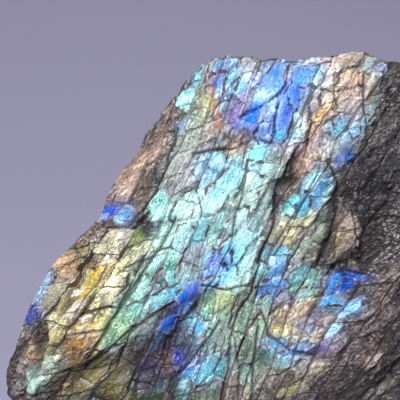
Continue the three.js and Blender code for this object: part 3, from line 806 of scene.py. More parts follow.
    (-11.2, 25.2, 3.4, 0.7, 48, (0.22, 0.50, 0.95), 0.0),
    (-6.8, 23.4, 4.6, 2.5, 62, (0.50, 0.84, 0.94), 0.0),
    (-3.9, 29.2, 3.4, 1.4, 74, (0.74, 0.86, 0.80), 0.1),
    (-7.8, 29.0, 3.2, 1.4, 66, (0.56, 0.72, 0.70), 0.2),
    (-27.9, 28.2, 5.0, 1.2, 40, (0.30, 0.38, 0.36), 0.4),
    (-32.8, 22.8, 5.4, 2.4, 40, (0.50, 0.46, 0.26), 0.5),
    (-24.6, 26.8, 3.8, 1.0, 42, (0.18, 0.20, 0.18), 0.5),
    (-20.5, 26.2, 2.2, 1.2, 40, (0.28, 0.18, 0.32), 0.7),
    (-22.6, 23.7, 2.4, 1.4, 40, (0.15, 0.12, 0.46), 0.4),
    (-17.9, 24.9, 1.8, 1.5, 40, (0.64, 0.46, 0.40), 0.7),
    (-23.2, 20.9, 1.3, 0.9, 30, (0.58, 0.46, 0.42), 0.6),
    (-21.6, 18.9, 2.8, 0.9, 20, (0.18, 0.36, 0.48), 0.2),
    (-21.3, 16.6, 3.6, 1.4, 10, (0.30, 0.36, 0.20), 0.3),
    (-16.4, 18.6, 2.6, 1.4, 84, (0.10, 0.18, 0.14), 0.3),
    (-13.4, 18.9, 2.2, 1.5, 60, (0.30, 0.56, 0.57), 0.2),
    (-8.0, 17.6, 3.2, 1.6, 26, (0.42, 0.44, 0.30), 0.4),
    (-1.0, 18.9, 2.4, 1.9, 70, (0.54, 0.48, 0.48), 0.6),
    (-8.0, 38.6, 3.2, 1.6, 62, (0.60, 0.80, 0.68), 0.0),
    (-4.2, 40.6, 3.0, 1.5, 66, (0.80, 0.88, 0.62), 0.0),
    (-4.8, 34.6, 3.6, 1.4, 70, (0.60, 0.80, 0.72), 0.0),
    # chips on the left flank
    (-32.9, 62.4, 2.7, 1.2, 20, (0.11, 0.33, 0.86), 0.1),
    (-28.4, 61.4, 2.1, 1.5, 55, (0.52, 0.72, 0.95), 0.0),
    (-12.2, 90.4, 2.2, 1.6, 50, (0.57, 0.92, 0.92), 0.1),
    (-7.6, 90.0, 2.6, 2.1, 30, (0.84, 0.80, 0.48), 0.3),
    (-10.4, 86.6, 3.0, 1.4, 32, (0.68, 0.80, 0.62), 0.3),
    (-13.2, 85.0, 2.4, 1.0, 40, (0.46, 0.74, 0.92), 0.1),
    (-5.4, 83.6, 1.6, 1.0, 60, (0.86, 0.56, 0.34), 0.3),
    (-4.6, 81.6, 1.8, 1.0, 50, (0.63, 0.86, 0.92), 0.2),
]

# Soft patches laid over the rest: painted highlights where single faces glow, painted shade, and tints of
# the stone's own colour: middle x, z, half length, half width, turn, colour, strength.
PAINTED_LIGHT_SHADE_AND_TINTS = [
    (-4.0, 60.0, 22.0, 11.0, 62, (0.54, 0.51, 0.53), 0.24),
    (27.0, 92.0, 9.0, 7.0, 80, (0.62, 0.58, 0.56), 0.2),
    # the orange crack down the crown, in the stone's own colour
    (-7.6, 95.4, 2.0, 0.6, 108, (0.80, 0.58, 0.38), 0.9),
    (-6.6, 91.8, 2.4, 0.7, 106, (0.84, 0.60, 0.30), 0.9),
    (-5.2, 87.8, 2.4, 0.7, 108, (0.82, 0.52, 0.26), 0.9),
    (-4.1, 84.2, 2.2, 0.7, 106, (0.84, 0.56, 0.34), 0.9),
    # mostly painted highlights where single faces glow
    (6.0, 91.4, 2.4, 1.5, 20, (0.76, 0.97, 0.95), 0.9),
    (10.6, 81.6, 1.8, 1.5, 60, (0.40, 0.82, 0.99), 0.9),
    (13.2, 81.8, 1.6, 1.2, 60, (0.52, 0.88, 0.99), 0.7),
    (19.6, 95.6, 2.4, 1.2, 60, (0.62, 0.90, 0.98), 0.8),
    (-5.8, 67.2, 1.8, 1.2, 30, (0.50, 0.86, 0.99), 0.9),
    (0.9, 57.4, 2.4, 1.6, 60, (0.80, 0.99, 0.99), 0.7),
    (-6.2, 50.6, 1.8, 0.9, 60, (0.41, 0.51, 0.96), 0.7),
    (-30.4, 44.6, 2.6, 1.4, 50, (0.97, 0.96, 0.80), 0.7),
    (-28.6, 33.0, 1.8, 1.2, 50, (0.80, 0.96, 0.80), 0.7),
    (-21.4, 39.8, 2.0, 0.9, 34, (0.80, 0.98, 0.98), 0.7),
    (-11.4, 34.8, 1.4, 0.9, 66, (0.62, 0.94, 0.99), 0.7),
    (3.0, 71.0, 1.6, 1.2, 60, (0.95, 0.99, 0.99), 0.7),
    (2.0, 24.5, 10.0, 3.2, 76, (0.46, 0.52, 0.44), 0.35),
    (-34.0, 20.0, 12.0, 6.0, 20, (0.42, 0.37, 0.12), 0.35),
    (-17.0, 25.0, 8.0, 5.0, 30, (0.05, 0.17, 0.38), 0.42),
    (-28.0, 34.4, 4.6, 2.6, 48, (0.70, 0.78, 0.66), 0.4),
    (1.0, 34.0, 7.5, 3.4, 64, (0.60, 0.66, 0.58), 0.4),
    # painted shade between the blue chips low on the left, with a few tints among it
    (-10.4, 38.6, 4.0, 0.9, 40, (0.09, 0.08, 0.22), 0.7),
    (-9.6, 24.4, 3.6, 1.0, 48, (0.16, 0.46, 0.80), 0.6),
    (-17.5, 31.0, 3.4, 1.0, 44, (0.05, 0.08, 0.16), 0.7),
    (-24.5, 27.2, 9.0, 1.2, 42, (0.04, 0.08, 0.07), 0.85),
    (-22.4, 21.8, 4.2, 1.8, 35, (0.08, 0.08, 0.30), 0.8),
    (-20.5, 16.6, 6.0, 1.9, 12, (0.10, 0.15, 0.09), 0.8),
    (-12.8, 29.8, 3.6, 1.0, 60, (0.06, 0.09, 0.18), 0.8),
    (-8.6, 17.6, 5.0, 1.4, 20, (0.18, 0.22, 0.15), 0.7),
    (-31.0, 24.8, 3.4, 1.4, 42, (0.62, 0.60, 0.50), 0.6),
    (-38.0, 22.6, 5.0, 1.2, 44, (0.20, 0.15, 0.07), 0.6),
    (-43.0, 30.6, 3.0, 0.8, 50, (0.34, 0.24, 0.08), 0.6),
]

# Stretches with few lines, and below 0 crinkled ones: middle x, z, half long, half wide, turn, how calm.
CALM = [
    (-4, 60, 25, 13, 62, 0.45),
    (8, 90, 11.5, 8.5, 60, 1.0),
    (-1.5, 50.5, 8.0, 2.8, 66, 1.0),
    (-38, 42, 18, 10, 60, -0.7),
    (-34, 22, 20, 9, 20, -0.7),
]

# Small pits, dented and darkened with painted shade: middle x, z and size.
PITS = [
    (-1.7, 52.9, 0.75), (-3.4, 49.4, 0.8), (-2.6, 48.4, 0.5),
    (35.6, 60, 0.9), (34.6, 84.4, 0.8), (38.6, 92, 0.8),
]

# name, points along it as x, z pairs, half width, depth
CRACKS = [
    ("thick left", [
        (-37, 26), (-34.5, 30), (-30, 37.5), (-25.8, 45), (-22.5, 49.5), (-19.5, 53.8),
        (-15.8, 61.3)
    ], 0.47, 1.0),
    ("centre long", [
        (2.5, 76), (1.2, 67.5), (-0.8, 61.5), (-2.6, 53.8), (-5.6, 47.5), (-7.8, 42.5)
    ], 0.34, 0.8),
    ("channel tail", [
        (15.5, 79), (13, 73.8), (10.2, 67.4), (8.6, 59), (6, 52.5), (3.2, 42.4), (0, 37.5),
        (-2, 31), (-2.4, 24), (-4, 15)
    ], 0.42, 1.0),
    ("valley edge", [(-4.4, 35.6), (-7, 31.6), (-10.5, 27.3), (-14, 23.2), (-17, 20.6)], 0.36, 0.7),
    ("splinter left edge", [(25.0, 62.6), (24.4, 57), (24.6, 50.6)], 0.25, 0.6),
    ("splinter right edge", [(28.6, 63.4), (30.2, 57), (30.0, 50.6)], 0.25, 0.6),
    ("foot third", [(-1, 32), (0.5, 24), (0, 15)], 0.3, 0.5),
    ("cyan foot one", [(-13, 24), (-9, 28), (-6.6, 32)], 0.25, 0.4),
    ("cyan foot two", [(-10.6, 18.6), (-6, 23), (-3.4, 28)], 0.25, 0.4),
    ("pale blocks one", [(-17, 60.4), (-11.6, 61), (-6, 61.8), (-1.6, 64.6)], 0.22, 0.4),
    ("pale blocks two", [(-10.4, 69), (-9, 62.6), (-11.6, 55), (-14.6, 49.6)], 0.22, 0.4),
    ("pale blocks three", [(1.2, 73.4), (5.6, 75.4), (9.6, 74.6)], 0.22, 0.4),
    ("pale blocks four", [(-1, 67.6), (3.4, 68.2), (7.6, 69.8)], 0.22, 0.4),
    ("foot second", [(5, 34), (4.2, 26), (3.4, 15)], 0.34, 0.6),
    ("stripe foot", [(-8.5, 44.2), (-2.5, 43.5), (3, 44.6)], 0.34, 0.7),
    ("dark band", [(-37.5, 23), (-31.5, 28.4), (-25.8, 33.6), (-20, 37.6), (-15.8, 40)], 0.42, 0.8),
    ("crown crack", [(0.2, 86), (4.2, 88.4), (8, 90.6), (10.6, 92), (12.2, 94.4), (13, 99)], 0.34, 0.6),
    ("crown split", [(10.2, 90), (9.0, 84.4), (8.6, 80.4)], 0.34, 0.6),
    ("crown right edge", [(20.4, 99.4), (19, 95.4), (17.8, 90), (18.8, 84), (17.5, 79)], 0.26, 0.6),
    ("cream vertical", [(24.4, 98), (24.2, 92), (25.8, 84)], 0.26, 0.4),
    ("cream right", [(32, 97), (31.6, 90), (32.6, 82)], 0.30, 0.6),
    ("cream level", [(18.4, 93.4), (24.4, 92.4), (31.8, 94)], 0.26, 0.4),
    ("ledge line", [(-11, 77.4), (-6, 78), (-1.5, 78.2), (4, 80.6), (8, 79.8)], 0.32, 0.8),
    ("left seam", [(-15.5, 83), (-18, 74), (-21.6, 66.4), (-28, 59)], 0.51, 1.0),
    ("flank base", [(-34.5, 58.8), (-27, 58.6), (-22, 62.6)], 0.38, 0.7),
    ("gold one", [(-41, 36), (-37, 43), (-33, 49.5)], 0.30, 0.5),
    ("gold two", [(-46, 33), (-42.5, 40.5), (-39, 47)], 0.30, 0.6),
    ("right long", [(20, 74), (16.6, 66), (12.6, 58.5), (9, 52)], 0.30, 0.6),
    ("recess edge", [(22, 76), (25.4, 70), (24.4, 62), (22.6, 55), (20, 49)], 0.51, 0.8),
    ("rainbow rim", [(5.6, 38), (8, 32), (13, 28.4), (19.4, 27)], 0.34, 0.6),
    ("ridge one", [(22, 14), (29, 20.4), (38, 27.6)], 0.42, 0.9),
    ("ridge two", [(28, 13), (35, 19), (42, 26)], 0.42, 0.8),
]


def in_ellipse(x, z, middle_x, middle_z, long, wide, turn):
    """The place along and across an ellipse, whose edge is 1 from its middle."""
    a = math.radians(turn)
    dx, dz = x - middle_x, z - middle_z
    along = (dx * math.cos(a) + dz * math.sin(a)) / long
    across = (dz * math.cos(a) - dx * math.sin(a)) / wide
    return along, across


def painted(x, z, jitter, colour, grain, reach):
    """The patches laid over colour and grain. jitter frays their edges."""
    for _, *ellipse, tone, roughness in PATCHES:
        away = np.hypot(*in_ellipse(x, z, *ellipse))
        share = (1 - smoothstep(0.6, 1.25, away + 0.22 * jitter)) * reach
        colour = blend(colour, linear(tone), share)
        grain = grain + share * (roughness - grain)
    return colour, grain


FARTHEST_BORDER = 3.0  # mm; a border or crack farther off counts as this far


def face_field(x, z):
    """The named faces share out the ground between them, as squarish blocks.

    Returns the colour and grain, how far each point belongs to them, from 0 to 1, the face that owns
    it, its place in that face, and the distance in mm to the border with the next one.
    """
    count, power = len(x), 4
    near, beyond = np.full(count, 50.0), np.full(count, 60.0)
    slope, slope_beyond = np.zeros((count, 2)), np.ones((count, 2))
    owner, place = np.zeros(count, int), np.zeros((count, 2))
    total, colour, grain = np.full(count, 1e-12), np.zeros((count, 3)), np.zeros(count)
    for number, (fx, fz, long, wide, turn, tone, roughness) in enumerate(FACES):
        along, across = in_ellipse(x, z, fx, fz, long, wide, turn)
        away = (along**power + across**power) ** (1 / power) + 1e-6
        down_along = (along / away) ** (power - 1) / long
        down_across = (across / away) ** (power - 1) / wide
        cos, sin = math.cos(math.radians(turn)), math.sin(math.radians(turn))
        down = (down_along * cos - down_across * sin, down_along * sin + down_across * cos)
        here = np.stack(down, axis=1)
        first, second = away < near, (away >= near) & (away < beyond)
        slope_beyond = np.where(first[:, None], slope, np.where(second[:, None], here, slope_beyond))
        beyond = np.where(first, near, np.where(second, away, beyond))
        near = np.where(first, away, near)
        slope = np.where(first[:, None], here, slope)
        owner = np.where(first, number, owner)
        place = np.where(first[:, None], np.stack([along, across], axis=1), place)
        weight = np.exp(-1.4 * np.minimum(away, 4) ** 2)
        total += weight
        colour += weight[:, None] * linear(tone)
        grain += weight * roughness
    cover = smoothstep(1.75, 1.3, near)
    border = (beyond - near) / np.maximum(np.linalg.norm(slope_beyond - slope, axis=1), 0.25)
    border = np.where(beyond > 1.9, FARTHEST_BORDER, np.minimum(border, FARTHEST_BORDER))
    return colour / total[:, None], grain / total, cover, owner, place, border


def crack_field(x, z, wander):
    """Depth of the named cracks in mm, and the distance to the nearest: 0.5 is a half width off."""
    depth, away = np.zeros(len(x)), np.full(len(x), FARTHEST_BORDER)
    for _, points, half, deep in CRACKS:
        distance = np.full(len(x), 1e9)
        for (ax, az), (bx, bz) in zip(points, points[1:]):
            ex, ez = bx - ax, bz - az
            t = np.clip(((x - ax) * ex + (z - az) * ez) / (ex * ex + ez * ez), 0, 1)
            distance = np.minimum(distance, np.hypot(x - ax - t * ex, z - az - t * ez))
        width = half * (0.85 + 0.5 * np.clip(wander, -0.6, 1))
        depth = np.maximum(depth, deep * np.exp(-((distance / (1.1 * width)) ** 2)))
        away = np.minimum(away, distance * 0.5 / width)
    return depth, away


def pit_field(x, z):
    """1 in the small pits and 0 outside them."""
    depth = np.zeros(len(x))
    for px, pz, size in PITS:
        depth = np.maximum(depth, np.exp(-((np.hypot(x - px, z - pz) / size) ** 4)))
    return depth


def calm_field(x, z, wander, front, on_face):
    """1 where there are few lines, and below 0 where the surface is crinkled."""
    calm = np.zeros(len(x))
    for *ellipse, degree in CALM:
        away = np.hypot(*in_ellipse(x, z, *ellipse))
        calm += smoothstep(1.1, 0.8, away + 0.2 * wander) * (degree - calm)
    return np.where(calm > 0, calm * on_face, calm * front)


# ---------------------------------------------------------------- the stone

# The sides and back: brown-grey, darker, paler, and a dull patch of flash.
SIDE_TONES = ((0.40, 0.37, 0.35), (0.28, 0.25, 0.24), (0.50, 0.48, 0.46), (0.20, 0.36, 0.44))


def side_look(base):
    """Colour and grain of the sides and back."""
    drab, dark, pale, flash = (linear(tone) for tone in SIDE_TONES)
    colour = blend(drab, dark, smoothstep(-0.35, 0.35, rough(base, 17, 2, 41)))
    colour = blend(colour, pale, smoothstep(0.2, 0.6, lumps(base, 11, 43)))
    dull_flash = 0.8 * smoothstep(0.45, 0.8, lumps(base, 9, 47))
    return blend(colour, flash, dull_flash), 0.75 - 0.4 * dull_flash


def chip_look(base, cells, wander, front):
    """Colour and grain: each chip takes those found at its middle, with a little of its own place."""
    where = base[:, ::2]
    at = 0.4 * cell_means(cells["chip"], where) + 0.3 * cell_means(cells["block"], where) + 0.3 * where
    jitter = 0.6 * (2 * cells["chip"][:, 1] - 1) + 0.5 * wander
    return painted(at[:, 0], at[:, 1], jitter, *side_look(base), front)


def face_look(base, cells, front):
    """Colour with painted light and shade, grain, cover and border of the named faces, and how each leans,
    from -1 to 1.
    """
    where = base[:, ::2]
    at = 0.3 * cell_means(cells["chip"], where) + 0.7 * where
    for size, wave_x, wave_z, seed in ((0.32, 3.4, 3.7, 61), (0.24, 1.4, 1.5, 62)):
        at = at + size * np.stack([lumps(base, wave_x, seed), lumps(base, wave_z, seed + 2)], axis=1)
    _, _, cover, owner, place, border = face_field(at[:, 0], at[:, 1])
    colour, grain = face_field(*(0.4 * at + 0.6 * where).T)[:2]
    chance = np.random.default_rng(21).uniform(-1, 1, (len(FACES), 3))[owner]
    in_face = np.clip(place, -1.2, 1.2)
    running = chance[:, 0] * in_face[:, 0] + chance[:, 1] * in_face[:, 1]
    # painted light running across each face, and painted shade near its border
    light = (1 + 0.2 * running) * (0.88 + 0.12 * smoothstep(0.0, 0.7, border))
    colour = colour * light[:, None]
    # a painted highlight near the middle of each clean face
    from_glint = np.hypot(in_face[:, 0] - 0.4 * chance[:, 0], in_face[:, 1] - 0.3 * chance[:, 1])
    glint = 0.17 * smoothstep(0.85, 0.2, from_glint) * (1 - grain)
    colour = blend(colour, np.sqrt(np.clip(colour, 0, 1)), glint)
    return colour, grain, cover * front, border, 0.4 * chance[:, 2] + 0.3 * running


def softened(colour, around):
    """Hues spread into each other; most of the light and shade stays."""
    soft = colour
    for _ in range(14):
        soft = 0.5 * (soft + around(soft))
    kept = (colour.mean(axis=1) / np.maximum(soft.mean(axis=1), 1e-4)) ** 0.6
    return colour + 0.75 * (soft * kept[:, None] - colour)


# Blocks and chips: step, lean and groove in mm, and the groove's half width.
CELL_SHAPES = {"block": (0.75, 1.5, 0.45, 0.5), "chip": (0.3, 0.7, 0.18, 0.32)}


def cell_height(cells, grain):
    """Steps, leans and grooves of the blocks and chips, and clods where the stone is rough, in mm."""
    height = np.zeros(len(grain))
    for name, (step, lean, groove, reach) in CELL_SHAPES.items():
        tint, at, edges = 2 * cells[name] - 1, cells[name + "_where"] - 0.5, cells[name + "_edges"]
        own = step * tint[:, 2] + lean * (tint[:, 0] * at[:, 0] + tint[:, 1] * at[:, 1])
        own -= groove * np.exp(-((edges[:, 0] / reach) ** 2))
        own -= 0.6 * groove * np.exp(-((edges[:, 1] / reach) ** 2))
        height = height + own
    clod = 0.5 * (2 * cells["clod"][:, 0] - 1) - 0.25 * np.exp(-((cells["clod_edge"][:, 0] / 0.09) ** 2))
    height = height + smoothstep(0.5, 0.85, grain) * (clod - 0.6 * height)
    return height + (0.05 + 0.2 * grain) * (2 * cells["splinter"][:, 2] - 1)


# How far the stone stands back from the CAD's surface, where its bumps start to flatten out, and the
# gap left to the CAD's box, all in mm.
SET_BACK, TALL_BUMP, BOX_GAP = 0.35, 0.9, 0.02


def in_box(points, base):
    """The foot stays flat and everything stays in the CAD's box."""
    low, high = np.array(cad_low) / MM, np.array(cad_high) / MM
    points[:, 2] = points[:, 2] * (1 - smoothstep(1.2, 0.3, base[:, 2]))
    points = np.clip(points, low + BOX_GAP, high - BOX_GAP)
    points[:, 2] = np.where(base[:, 2] < 0.3, 0.0, points[:, 2])
    return points


def crests(points, faces, around):
    """1 on crests, which get a painted highlight, and -1 in hollows, which get painted shade."""
    bulge = np.einsum("ij,ij->i", points - around(points), vertex_normals(points, faces))
    wide = bulge
    for _ in range(3):
        wide = around(wide)
    bulge = bulge + 0.15 * wide
    return smoothstep(0.03, 0.16, bulge) - smoothstep(0.03, 0.16, -bulge)


def build_stone():
    base, faces = ring_mesh(blur_map(radius_map(cad_surface()), MAP_BLUR))
    around = neighbour_means(faces, len(base))
    normals = vertex_normals(base, faces)
    for _ in range(6):
        normals = unit(normals + around(normals))
    x, _, z = base.T
    front = smoothstep(0.15, 0.55, -normals[:, 1])
    grain_at = grain_coordinates(base)
    wander = rough(base, 6, 3, 31)
    cells = cell_values(grain_at)

    colour, grain = chip_look(base, cells, wander, front)
    face_colour, face_grain, cover, border, face_lean = face_look(base, cells, front)
    colour = softened(blend(colour, face_colour, 0.92 * cover), around)
    grain = grain + cover * (face_grain - grain)
    # painted highlights, painted shade and tints laid softly over the colour
    for *ellipse, tone, strength in PAINTED_LIGHT_SHADE_AND_TINTS:
        away = np.hypot(*in_ellipse(x, z, *ellipse))
        colour = blend(colour, linear(tone), strength * np.exp(-(away**2)) * front)
    pits = pit_field(x + 0.3 * wander, z) * front
    # painted shade in the pits
    colour = colour * (1 - 0.96 * pits[:, None])
    border = FARTHEST_BORDER + (border - FARTHEST_BORDER) * smoothstep(0.2, 0.8, cover)
    crack_depth, crack_away = crack_field(x + 0.5 * wander, z + 0.4 * lumps(base, 5, 33), wander)
    crack_away = FARTHEST_BORDER + (crack_away - FARTHEST_BORDER) * front
    calm = calm_field(x, z, wander, front, cover * smoothstep(0.35, 0.1, grain))

    # height over the CAD's surface, in mm
    height = cell_height(cells, grain) + grain * 0.45 * rough(base, 2.6, 3, 51)
    flattened = (0.75 + 0.17 * np.maximum(calm, 2 * calm)) * (1 - face_grain)
    height = height + cover * (face_lean - flattened * height)
    height -= 0.10 * np.exp(-((border / 0.35) ** 2)) * cover
    height -= crack_depth * front + 0.8 * pits
    height *= 0.35 + 0.65 * np.maximum(front, 0.5)
    height = np.where(height > TALL_BUMP, TALL_BUMP + 0.3 * (height - TALL_BUMP), height)
    points = base + (height - SET_BACK)[:, None] * normals
    points = in_box(points + 0.25 * (around(points) - points), base)

    mesh = bpy.data.meshes.new("labradorite_stone")
    mesh.from_pydata((points * MM).tolist(), [], faces.tolist())
    mesh.validate()
    mesh.polygons.foreach_set("use_smooth", np.ones(len(mesh.polygons), bool))

    def store(name, kind, key, *values):
        attribute = mesh.attributes.new(name, kind, "POINT")
        attribute.data.foreach_set(key, np.column_stack(values).astype(np.float32).ravel())

    store("grain_at", "FLOAT_VECTOR", "vector", grain_at)
    store("flash", "FLOAT_COLOR", "color", colour, np.ones(len(x)))
    store("marks", "FLOAT_VECTOR", "vector", grain, crack_away, crests(points, faces, around))
    store("faces", "FLOAT_VECTOR", "vector", cover, border, calm)
    add_bake_map(mesh, base, faces, normals)
    stone = bpy.data.objects.new("labradorite_stone", mesh)
    bpy.context.scene.collection.objects.link(stone)
    return stone


def add_bake_map(mesh, base, faces, normals):
    """Six flat charts, the show face's the largest."""
    n = unit(normals[faces].mean(axis=1))
    scores = np.stack([-n[:, 1] + 0.25, n[:, 1], -n[:, 0], n[:, 0], n[:, 2], -n[:, 2]], axis=1)
    chart = scores.argmax(axis=1)
    low, high = base.min(axis=0), base.max(axis=0)
    p = (base - low)[faces]
    width, depth, tall = high - low
    front_scale, other = 0.78 / width, 0.30 / tall
    u_v = {
        0: (p[..., 0], p[..., 2], front_scale, 0.005, 0.005),
        1: (width - p[..., 0], p[..., 2], other, 0.005, 0.69),
        2: (depth - p[..., 1], p[..., 2], other, 0.38, 0.69),
        3: (p[..., 1], p[..., 2], other, 0.59, 0.69),
        4: (p[..., 1], p[..., 0], other, 0.80, 0.005),
        5: (p[..., 1], width - p[..., 0], other, 0.80, 0.37),
    }
    uv = np.zeros((len(faces), 3, 2))
    for number, (u, v, scale, left, foot) in u_v.items():
        here = chart == number
        uv[here, :, 0] = (left + scale * u)[here]
        uv[here, :, 1] = (foot + scale * v)[here]
    layer = mesh.uv_layers.new(name="OFBake")
    layer.data.foreach_set("uv", uv.astype(np.float32).ravel())


# ---------------------------------------------------------------- the stone's material

THINNEST = 0.04  # mm; a width of 0 would fill its cell with crack
# the first is a painted glint on pale chips, the second a painted highlight on crests
PALE_GLINT, CREST_HIGHLIGHT = (0.86, 0.95, 0.93), (0.80, 0.82, 0.80)
# the first is painted shade in the hollows
HOLLOW_SHADE, SEAM_DARK, SEAM_PALE = (0.02, 0.02, 0.02), (0.30, 0.24, 0.28), (0.62, 0.55, 0.60)
BROWN_CRUMB, PINK_DUST = (0.50, 0.40, 0.39), (0.62, 0.57, 0.60)
CRACK_GREEN, CRACK_BROWN = (0.01, 0.03, 0.03), (0.05, 0.03, 0.01)


class Patterns:
    """What the mesh stores, and the patterns that the parts of the material share."""

    def __init__(self, n):
        def stored(name, output="Vector"):
            return n.new("ShaderNodeAttribute", attribute_name=name).outputs[output]

        def tints(at, scale):
            return n.split(n.cells(n.scaled(at, scale)))

        def edge(scale):
            return n.cells(n.scaled(at, scale), "DISTANCE_TO_EDGE", "Distance")

        def tone(scale, detail):
            return n.noise(n.scaled(at, scale), 1.0, detail)

        self.grain_at, self.flash = stored("grain_at"), stored("flash", "Color")
        self.grain, self.crack_away, self.crest = n.split(stored("marks"))
        self.cover, self.border, self.calm = n.split(stored("faces"))
        light = n.new("ShaderNodeRGBToBW", {"Color": self.flash}).outputs[0]
        self.lit = n.between(light, 0.03, 0.25, 0.1, 1.0)

        self.at = at = frayed(n, self.grain_at)
        self.block, self.block_where, block_edges = brick_cells(n, at, **BLOCKS)
        self.chip, self.chip_where, chip_edges = brick_cells(n, at, **CHIPS)
        self.block_tint, self.chip_tint = n.split(self.block), n.split(self.chip)
        self.block_edge, self.chip_edge = n.split(block_edges), n.split(chip_edges)
        self.splinter_tint, self.splinter_edge = tints(at, SPLINTERS), edge(SPLINTERS)
        self.clod_tint, self.clod_edge = tints(at, CLODS), edge(CLODS)
        self.crumb_tint = tints(self.grain_at, (2.2, 2.6, 2.4))
        self.dust_tint = tints(self.grain_at, (4.6, 5.0, 4.8))

        self.streak = tone((0.14, 1.7, 0.5), 4.0)  # lamellae: fine streaks along the rows
        self.cloud = tone((0.20, 0.36, 0.30), 2.0)
        self.patchy = tone((0.20, 0.30, 0.30), 3.0)
        self.speckle = tone((1.8, 2.3, 2.0), 3.0)

        # veins: hair cracks that wander where two tones of a cloudy field meet
        def vein(scale, width):
            away = n.math("ABSOLUTE", n.minus(tone(scale, 5.0), 0.5))
            return n.between(away, 0.0, width, 1.0, 0.0)

        veins = n.most(vein((0.16, 0.30, 0.20), 0.022), n.times(vein((0.34, 0.52, 0.40), 0.03), 0.8))
        self.veins = n.times(veins, n.between(self.patchy, 0.40, 0.56, 0.25, 0.9))


def clean_colour(n, p):
    """Clean blocks: each has its own shade, with light running across it."""

    def running_light(where, tint):
        place = n.vector("SUBTRACT", where, (0.50, 0.50, 0.00))
        lean = n.vector("SUBTRACT", tint, (0.50, 0.50, 0.50))
        return n.new("ShaderNodeVectorMath", {0: place, 1: lean}, operation="DOT_PRODUCT").outputs["Value"]

    own = n.times_plus(p.chip_tint[0], 0.34, 0.80)
    own = n.times_plus(running_light(p.block_where, p.block), 1.5, own)
    own = n.times_plus(running_light(p.chip_where, p.chip), 1.1, own)
    strength = n.times_plus(p.cover, -0.5, n.times_plus(p.calm, -0.3, 1.0))
    value = n.times(
        n.times_plus(n.minus(own, 1.0), strength, 1.0),
        n.between(p.streak, 0.3, 0.7, 0.88, 1.10),
        n.between(p.cloud, 0.3, 0.7, 0.84, 1.12),
        n.between(p.speckle, 0.32, 0.68, 0.62, 1.32),
        n.between(p.dust_tint[1], 0.0, 1.0, 0.82, 1.20),
    )
    shifted = n.new("ShaderNodeHueSaturation", {"Color": n.shaded(p.flash, value)})
    n.put(shifted.inputs["Hue"], n.between(p.chip_tint[1], 0.0, 1.0, 0.486, 0.512))
    n.put(shifted.inputs["Saturation"], n.between(p.block_tint[1], 0.0, 1.0, 0.92, 1.10))
    pale = n.times(
        n.between(p.chip_tint[2], 0.55, 1.0, 0.0, 0.42),
        n.between(p.cloud, 0.4, 0.65),
        n.times(p.lit, n.minus(1.0, p.calm)),
    )
    return n.mix(pale, shifted.outputs[0], PALE_GLINT)


def matrix_colour(n, p):
    """Matrix: crumbs of feldspar in grey, brown, pink and near-black."""
    shade = n.times(
        n.between(p.crumb_tint[0], 0.1, 0.95, 0.55, 1.45),
        n.between(p.dust_tint[0], 0.0, 1.0, 0.7, 1.3),
        n.between(p.patchy, 0.36, 0.62, 0.5, 1.2),
        n.between(p.clod_tint[0], 0.1, 0.9, 0.6, 1.45),
        n.between(p.clod_edge, 0.0, 0.08, 0.6, 1.0),
    )
    brown = n.between(p.crumb_tint[1], 0.78, 0.86, 0.0, 0.3)
    colour = n.mix(brown, n.shaded(p.flash, shade), BROWN_CRUMB)
    drift = n.noise(n.scaled(p.grain_at, (0.12, 0.16, 0.14)), 1.0, 3.0)
    pink = n.times(
        n.between(p.dust_tint[2], 0.76, 0.86, 0.0, 1.0),
        n.between(drift, 0.42, 0.62, 0.15, 1.0),
        n.between(p.grain, 0.80, 0.92, 0.4, 0.9),
    )
    colour = n.mix(pink, colour, PINK_DUST)
    return n.shaded(colour, n.between(p.crumb_tint[2], 0.74, 0.82, 1.0, 0.35))


def feldspar_seams(n, p):
    """Where crumbled feldspar lies, beside the cracks and the borders of faces."""
    by_row = n.between(p.block_edge[0], 0.25, 1.1, 1.0, 0.0)
    by_crack = n.between(p.crack_away, 0.4, 1.9, 1.0, 0.0)
    by_face = n.times(p.cover, n.between(p.border, 0.2, 1.0, 1.0, 0.0))
    return n.times(
        n.most(n.times(n.most(by_row, by_crack), n.times_plus(p.cover, -0.6, 1.0)), by_face),
        n.between(p.patchy, 0.42, 0.58, 0.2, 0.95),
        n.between(p.crumb_tint[1], 0.1, 0.5, 0.4, 1.0),
        n.times_plus(p.lit, 0.75, 0.25),
        n.between(p.calm, 0.45, 1.0, 1.0, 0.2),
    )


def crack_lines(n, p):
    """Cracks along the rows, across them, between chips, round the faces, and the named ones."""
    ragged = n.times(n.minus(p.speckle, 0.5), 0.5)
    row_width = n.most(n.plus(n.between(p.patchy, 0.35, 0.65, 0.10, 0.42), ragged), THINNEST)
    end_width = n.between(p.block_tint[2], 0.2, 0.9, 0.02, 0.30)
    chip_width = n.between(p.chip_tint[1], 0.45, 1.0, 0.01, 0.22)
    hair = n.times(n.between(p.splinter_edge, 0.0, 0.09, 0.7, 0.0), n.between(p.patchy, 0.42, 0.6))
    chips = n.most(n.line(p.chip_edge[0], chip_width), n.line(p.chip_edge[1], chip_width))
    lines = n.times(
        n.most(
            n.between(n.line(p.block_edge[0], row_width), 0.0, 0.6),
            n.between(n.line(p.block_edge[1], end_width), 0.0, 0.7),
            n.times(n.most(chips, hair, p.veins), 0.8),
        ),
        n.times_plus(p.cover, -0.2, 1.0),
        n.times_plus(p.calm, -0.75, 1.0),
    )
    face_width = n.plus(n.between(p.patchy, 0.36, 0.60, 0.10, 0.36), n.times(ragged, 0.7))
    face_line = n.times(
        n.between(n.line(p.border, n.most(face_width, THINNEST)), 0.05, 0.5),
        n.between(p.patchy, 0.3, 0.52, 0.6, 1.0),
        n.between(p.grain, 0.08, 0.3, 1.0, 0.3),
        n.between(p.calm, -0.9, 0.0, 2.2, 1.0),
    )
    named = n.between(n.times_plus(ragged, -0.8, p.crack_away), 0.06, 0.48, 1.0, 0.0)
    return n.times(n.most(lines, face_line, named), n.between(p.cloud, 0.35, 0.65, 1.0, 0.86))


